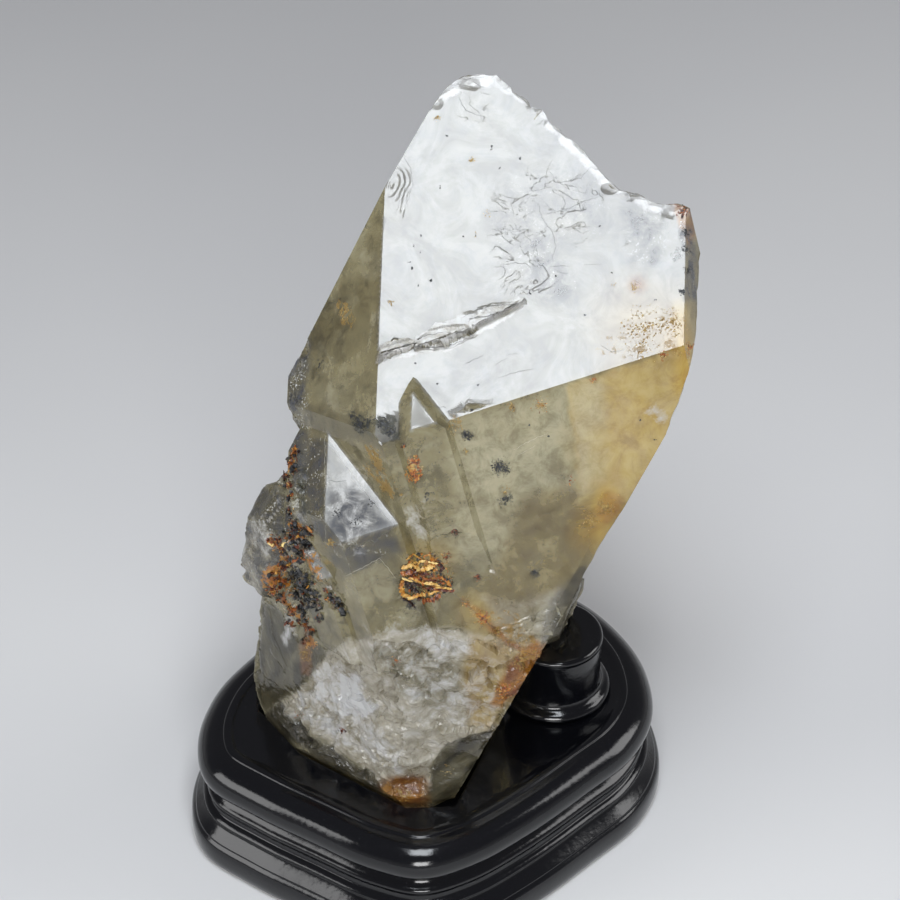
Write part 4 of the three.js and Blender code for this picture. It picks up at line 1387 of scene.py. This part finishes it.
def quartz_noises(n):
    """Noises from the crystal's wide clouds down to its finest speckle."""
    where = n.add("TexCoord").outputs["Object"]
    return SimpleNamespace(
        clouds=n.noise(where, 24, 3, 0.6, 0.6), wisps=n.noise(where, 80, 4, 0.66, 1.2),
        mottle=n.noise(where, 210, 4, 0.72, 0.4), fine=n.noise(where, 520, 3, 0.7),
        speckle=n.noise(where, 1700, 1, 0.6), net=n.thin_lines(n.noise(where, 120, 3, 0.6, 1.2)),
    )


def quartz_masks(n, g):
    """Where stains, hazy tone with painted shade, painted glint specks and etched lines lie, from the fields
    on the stone's points.
    """
    patchy_haze_and_shade = n.ramp(g.mottle, [(0.38, (1, 1, 1)), (0.6, (0, 0, 0))])
    patchy_etching = n.ramp(g.wisps, [(0.42, (0, 0, 0)), (0.52, (1, 1, 1))])
    # Breaks up the smoky darkening, which is partly painted shade.
    patchy_smoke_and_shade = n.ramp(g.wisps, [(0.35, (1, 1, 1)), (0.68, (0.55, 0.55, 0.55))])
    haze = n.field("haze")
    return SimpleNamespace(
        haze=n.times(haze, patchy_haze_and_shade), smoke=n.times(n.field("smoke"), patchy_smoke_and_shade),
        # Painted glint specks: near-white spots in the colour, standing in for sparkling highlights.
        painted_glints=n.times(n.past(g.speckle, 0.6, 14.0), n.times(n.past(g.mottle, 0.5, 12.0), haze)),
        etched=n.times(n.times(g.net, n.field("etch")), patchy_etching),
        # Milky white, partly painted highlights and glint specks.
        milk=n.ragged(n.field("milk"), g.mottle, 1.7, 1.8),
        ochre=n.times(n.ragged(n.field("ochre"), g.fine, 2.6, 3.0), 0.75),
        iron=n.ragged(n.field("iron"), g.fine, 3.0, 5), moss=n.ragged(n.field("moss"), g.fine, 3.2, 3.0),
    )


def crystal_colour(n, g):
    """The crystal itself: olive clouds with light and dark veils, and a painted silvery sheen on the bright
    face that stands in for its reflection.
    """
    olive = [(0.32, (0.19, 0.16, 0.075)), (0.5, (0.35, 0.31, 0.18)), (0.7, (0.5, 0.47, 0.32))]
    colour = n.ramp(g.clouds, olive)
    colour = n.mix(n.past(g.wisps, 0.52, 3.0), colour, (0.62, 0.59, 0.44))
    colour = n.mix(n.past(0.46, g.wisps, 3.0), colour, (0.13, 0.11, 0.06))
    tone = n.ramp(g.mottle, [(0.34, (0.42, 0.41, 0.36)), (0.5, (0.88, 0.87, 0.82)), (0.62, (1, 1, 0.95))])
    colour = n.mix(n.times(n.field("grain"), 0.25), n.multiply(colour, tone), (0.7, 0.68, 0.58))
    # Painted sheen: the bright face is coloured silvery grey to stand in for the light it mirrors.
    painted_sheen = n.ramp(g.wisps, [(0.4, (0.42, 0.43, 0.45)), (0.6, (0.58, 0.6, 0.63))])
    return n.mix(n.times(n.field("bright"), 0.7), colour, painted_sheen)


def stained_colour(n, g, masks, colour):
    """Lays the pale, amber, smoky and frosted zones over the crystal, then its stains. The smoky and hazy
    layers also paint shade, the milky layer also paints highlights, and the near-white specks are painted
    highlights.
    """
    straw = n.ramp(g.mottle, [(0.35, (0.52, 0.47, 0.3)), (0.6, (0.82, 0.77, 0.54))])
    amber = n.ramp(g.wisps, [(0.35, (0.5, 0.27, 0.04)), (0.6, (0.82, 0.56, 0.12))])
    frost = n.ramp(g.mottle, [
        (0.32, (0.44, 0.4, 0.3)), (0.5, (0.66, 0.62, 0.52)), (0.66, (0.88, 0.86, 0.79)),
    ])
    orange = n.ramp(g.mottle, [(0.38, (0.22, 0.055, 0.008)), (0.6, (0.5, 0.22, 0.035))])
    rust = n.ramp(g.fine, [
        (0.36, (0.1, 0.018, 0.008)), (0.5, (0.45, 0.12, 0.015)), (0.64, (0.7, 0.36, 0.08)),
    ])
    # Painted light among these layers: shade in the smoky and hazy ones, highlights in the milky one and in
    # the near-white specks.
    layers = [
        (n.field("pale"), straw), (n.field("amber"), amber), (masks.smoke, (0.034, 0.031, 0.024)),
        (n.field("frost"), frost), (masks.milk, (0.9, 0.91, 0.92)), (n.field("orange"), orange),
        (masks.haze, (0.1, 0.11, 0.14)), (masks.painted_glints, (0.86, 0.88, 0.9)),
        (n.times(masks.etched, 0.3), (0.2, 0.2, 0.2)), (masks.ochre, (0.46, 0.27, 0.05)),
        (masks.iron, rust), (n.times(masks.moss, 0.6), (0.03, 0.042, 0.037)),
    ]
    for share, layer in layers:
        colour = n.mix(share, colour, layer)
    return colour


def quartz_roughness(n, g, masks):
    smooth_skin = n.plus(n.times(g.mottle, 0.1), 0.02)
    polish = n.blend(n.field("grain"), smooth_skin, n.plus(n.times(g.fine, 0.3), 0.03))
    polish = n.plus(n.plus(polish, n.times(n.field("dull"), 0.3)), n.times(masks.haze, 0.3))
    return n.blend(n.math("MAXIMUM", masks.iron, masks.ochre), polish, 0.55)


def quartz_height(n, g, masks):
    grain = n.times(n.plus(g.fine, n.times(g.speckle, 0.4)), n.field("grain"))
    skin = n.times(n.plus(g.wisps, n.times(g.speckle, 0.16)), 0.06)
    return n.minus(n.plus(grain, skin), n.times(masks.etched, 0.25))


def quartz_material():
    """See-through by plain transmission and absorption, clouded by its own colour."""
    n = Nodes("smoky_quartz")
    g = quartz_noises(n)
    masks = quartz_masks(n, g)
    absorb = n.add("VolumeAbsorption", Color=(0.84, 0.77, 0.55, 1), Density=20.0)
    return n.finish(
        absorb.outputs[0], Base_Color=stained_colour(n, g, masks, crystal_colour(n, g)),
        Roughness=quartz_roughness(n, g, masks), Normal=n.bump(quartz_height(n, g, masks), 0.4, 0.0007),
        IOR=1.544, Transmission_Weight=0.55,
    )


def lacquer_material():
    n = Nodes("black_lacquer")
    where = n.add("TexCoord").outputs["Object"]
    wide = n.noise(where, 60, 4, 0.5)
    brushed = n.noise(where, 700, 5, 0.6)
    dust = n.ramp(n.noise(where, 2600, 2, 0.5), [(0.7, (0, 0, 0)), (0.78, (1, 1, 1))])
    return n.finish(
        Base_Color=n.mix(n.times(dust, 0.12), (0.0025, 0.0027, 0.004), (0.25, 0.25, 0.27)),
        Roughness=n.plus(n.times(wide, 0.16), n.times(brushed, 0.08)),
        Normal=n.bump(n.plus(wide, n.times(brushed, 0.2)), 0.35, 0.0006),
        IOR=1.47, Coat_Weight=0.15, Coat_Roughness=0.06,
    )


def crust_material(name, colours, rough):
    """Flaky mineral crust: a ramp over each flake's tone, broken up by fine noise."""
    n = Nodes(name)
    fine = n.noise(n.add("TexCoord").outputs["Object"], 900, 5, 0.6)
    shade = n.plus(n.field("tone"), n.times(n.minus(fine, 0.5), 0.9))
    return n.finish(
        Base_Color=n.ramp(shade, colours), Roughness=n.plus(n.times(fine, 0.3), rough),
        Normal=n.bump(fine, 0.6, 0.0003),
    )


def iron_material():
    return crust_material("iron_crust", [
        (0.05, (0.014, 0.005, 0.004)), (0.3, (0.09, 0.018, 0.006)), (0.5, (0.31, 0.085, 0.013)),
        (0.7, (0.5, 0.26, 0.045)), (1.0, (0.76, 0.56, 0.22)),
    ], 0.12)


def ochre_material():
    return crust_material("ochre_crust", [
        (0.2, (0.06, 0.03, 0.008)), (0.5, (0.2, 0.12, 0.03)), (0.9, (0.42, 0.3, 0.1)),
    ], 0.35)


def black_material():
    return crust_material("black_crust", [
        (0.2, (0.006, 0.007, 0.008)), (0.7, (0.03, 0.032, 0.036)), (0.95, (0.12, 0.09, 0.05)),
    ], 0.15)


# Dark for the cracks, pale at the top of its ramp for the painted edge highlights.
def crack_and_highlight_material():
    return crust_material("crack_and_highlight_tone", [
        (0.1, (0.05, 0.05, 0.048)), (0.6, (0.12, 0.118, 0.108)), (1.0, (0.62, 0.6, 0.52)),
    ], 0.3)


def floor_material():
    n = Nodes("pale_floor")
    tone = n.noise(n.add("TexCoord").outputs["Object"], 3, 3, 0.5)
    colour = n.ramp(tone, [(0.3, (0.68, 0.68, 0.69)), (0.7, (0.72, 0.72, 0.72))])
    return n.finish(Base_Color=colour, Roughness=0.8)


# Stage
FLOOR_HALF = 4000.0
# Where the tip face shows its reflection, how far off the softbox hangs, and where fills point.
BRIGHT_SPOT, SOFTBOX_AWAY = np.array([22, 8, 172.0]), 620
FILL_TARGET = (0, 0, 80)
WORLD_LOW, WORLD_HIGH, WORLD_RISE = (0.5, 0.5, 0.51, 1), (0.16, 0.16, 0.17, 1), 0.35


def make_floor():
    points = FLOOR_HALF * np.array([[-1, -1, 0], [1, -1, 0], [1, 1, 0], [-1, 1, 0]])
    floor = make_mesh("floor", points, [[0, 1, 2, 3]])
    floor.data.materials.append(floor_material())
    floor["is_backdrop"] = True


def make_light(name, at, towards, size, power, colour=(1, 1, 1)):
    data = bpy.data.lights.new(name, "AREA")
    data.shape = "RECTANGLE"
    data.size, data.size_y = size[0] * MM, size[1] * MM
    data.energy = power
    data.color = colour
    light = bpy.data.objects.new(name, data)
    light.location = Vector(at) * MM
    light.rotation_euler = (Vector(towards) - Vector(at)).to_track_quat("-Z", "Y").to_euler()
    bpy.context.scene.collection.objects.link(light)


def make_world():
    world = bpy.data.worlds.new("studio")
    world.use_nodes = True
    tree = world.node_tree
    back = tree.nodes["Background"]
    where = tree.nodes.new("ShaderNodeTexCoord")
    split = tree.nodes.new("ShaderNodeSeparateXYZ")
    ramp = tree.nodes.new("ShaderNodeValToRGB")
    tree.links.new(where.outputs["Generated"], split.inputs[0])
    tree.links.new(split.outputs["Z"], ramp.inputs["Fac"])
    tree.links.new(ramp.outputs["Color"], back.inputs["Color"])
    for mark, place, tone in zip(ramp.color_ramp.elements, (0, WORLD_RISE), (WORLD_LOW, WORLD_HIGH)):
        mark.position = place
        mark.color = tone
    back.inputs["Strength"].default_value = 1.0
    bpy.context.scene.world = world


def light_stage():
    """The softbox hangs where the large tip face mirrors it into the lens."""
    look = BRIGHT_SPOT - EYE
    look /= np.linalg.norm(look)
    mirror = look - 2 * (look @ BRIGHT_FACE) * BRIGHT_FACE
    at = BRIGHT_SPOT + SOFTBOX_AWAY * mirror
    make_light("softbox", at, BRIGHT_SPOT, (300, 300), 3.1, (0.9, 0.95, 1.0))
    make_light("front_fill", (40, -760, 330), FILL_TARGET, (320, 220), 2.8)
    make_light("left_fill", (-900, -300, 500), FILL_TARGET, (500, 500), 3)
    make_light("right_fill", (900, 100, 600), FILL_TARGET, (500, 500), 3)
    make_world()


make_camera()
LACQUER = lacquer_material()
stone = build_stone()
build_crusts(stone)
build_stand()
make_floor()
light_stage()
bpy.context.scene.view_settings.view_transform = "Standard"

boxes = {"cad": cad_bounds, "visual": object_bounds()}
{name: [list(map(float, corner)) for corner in box] for name, box in boxes.items()}
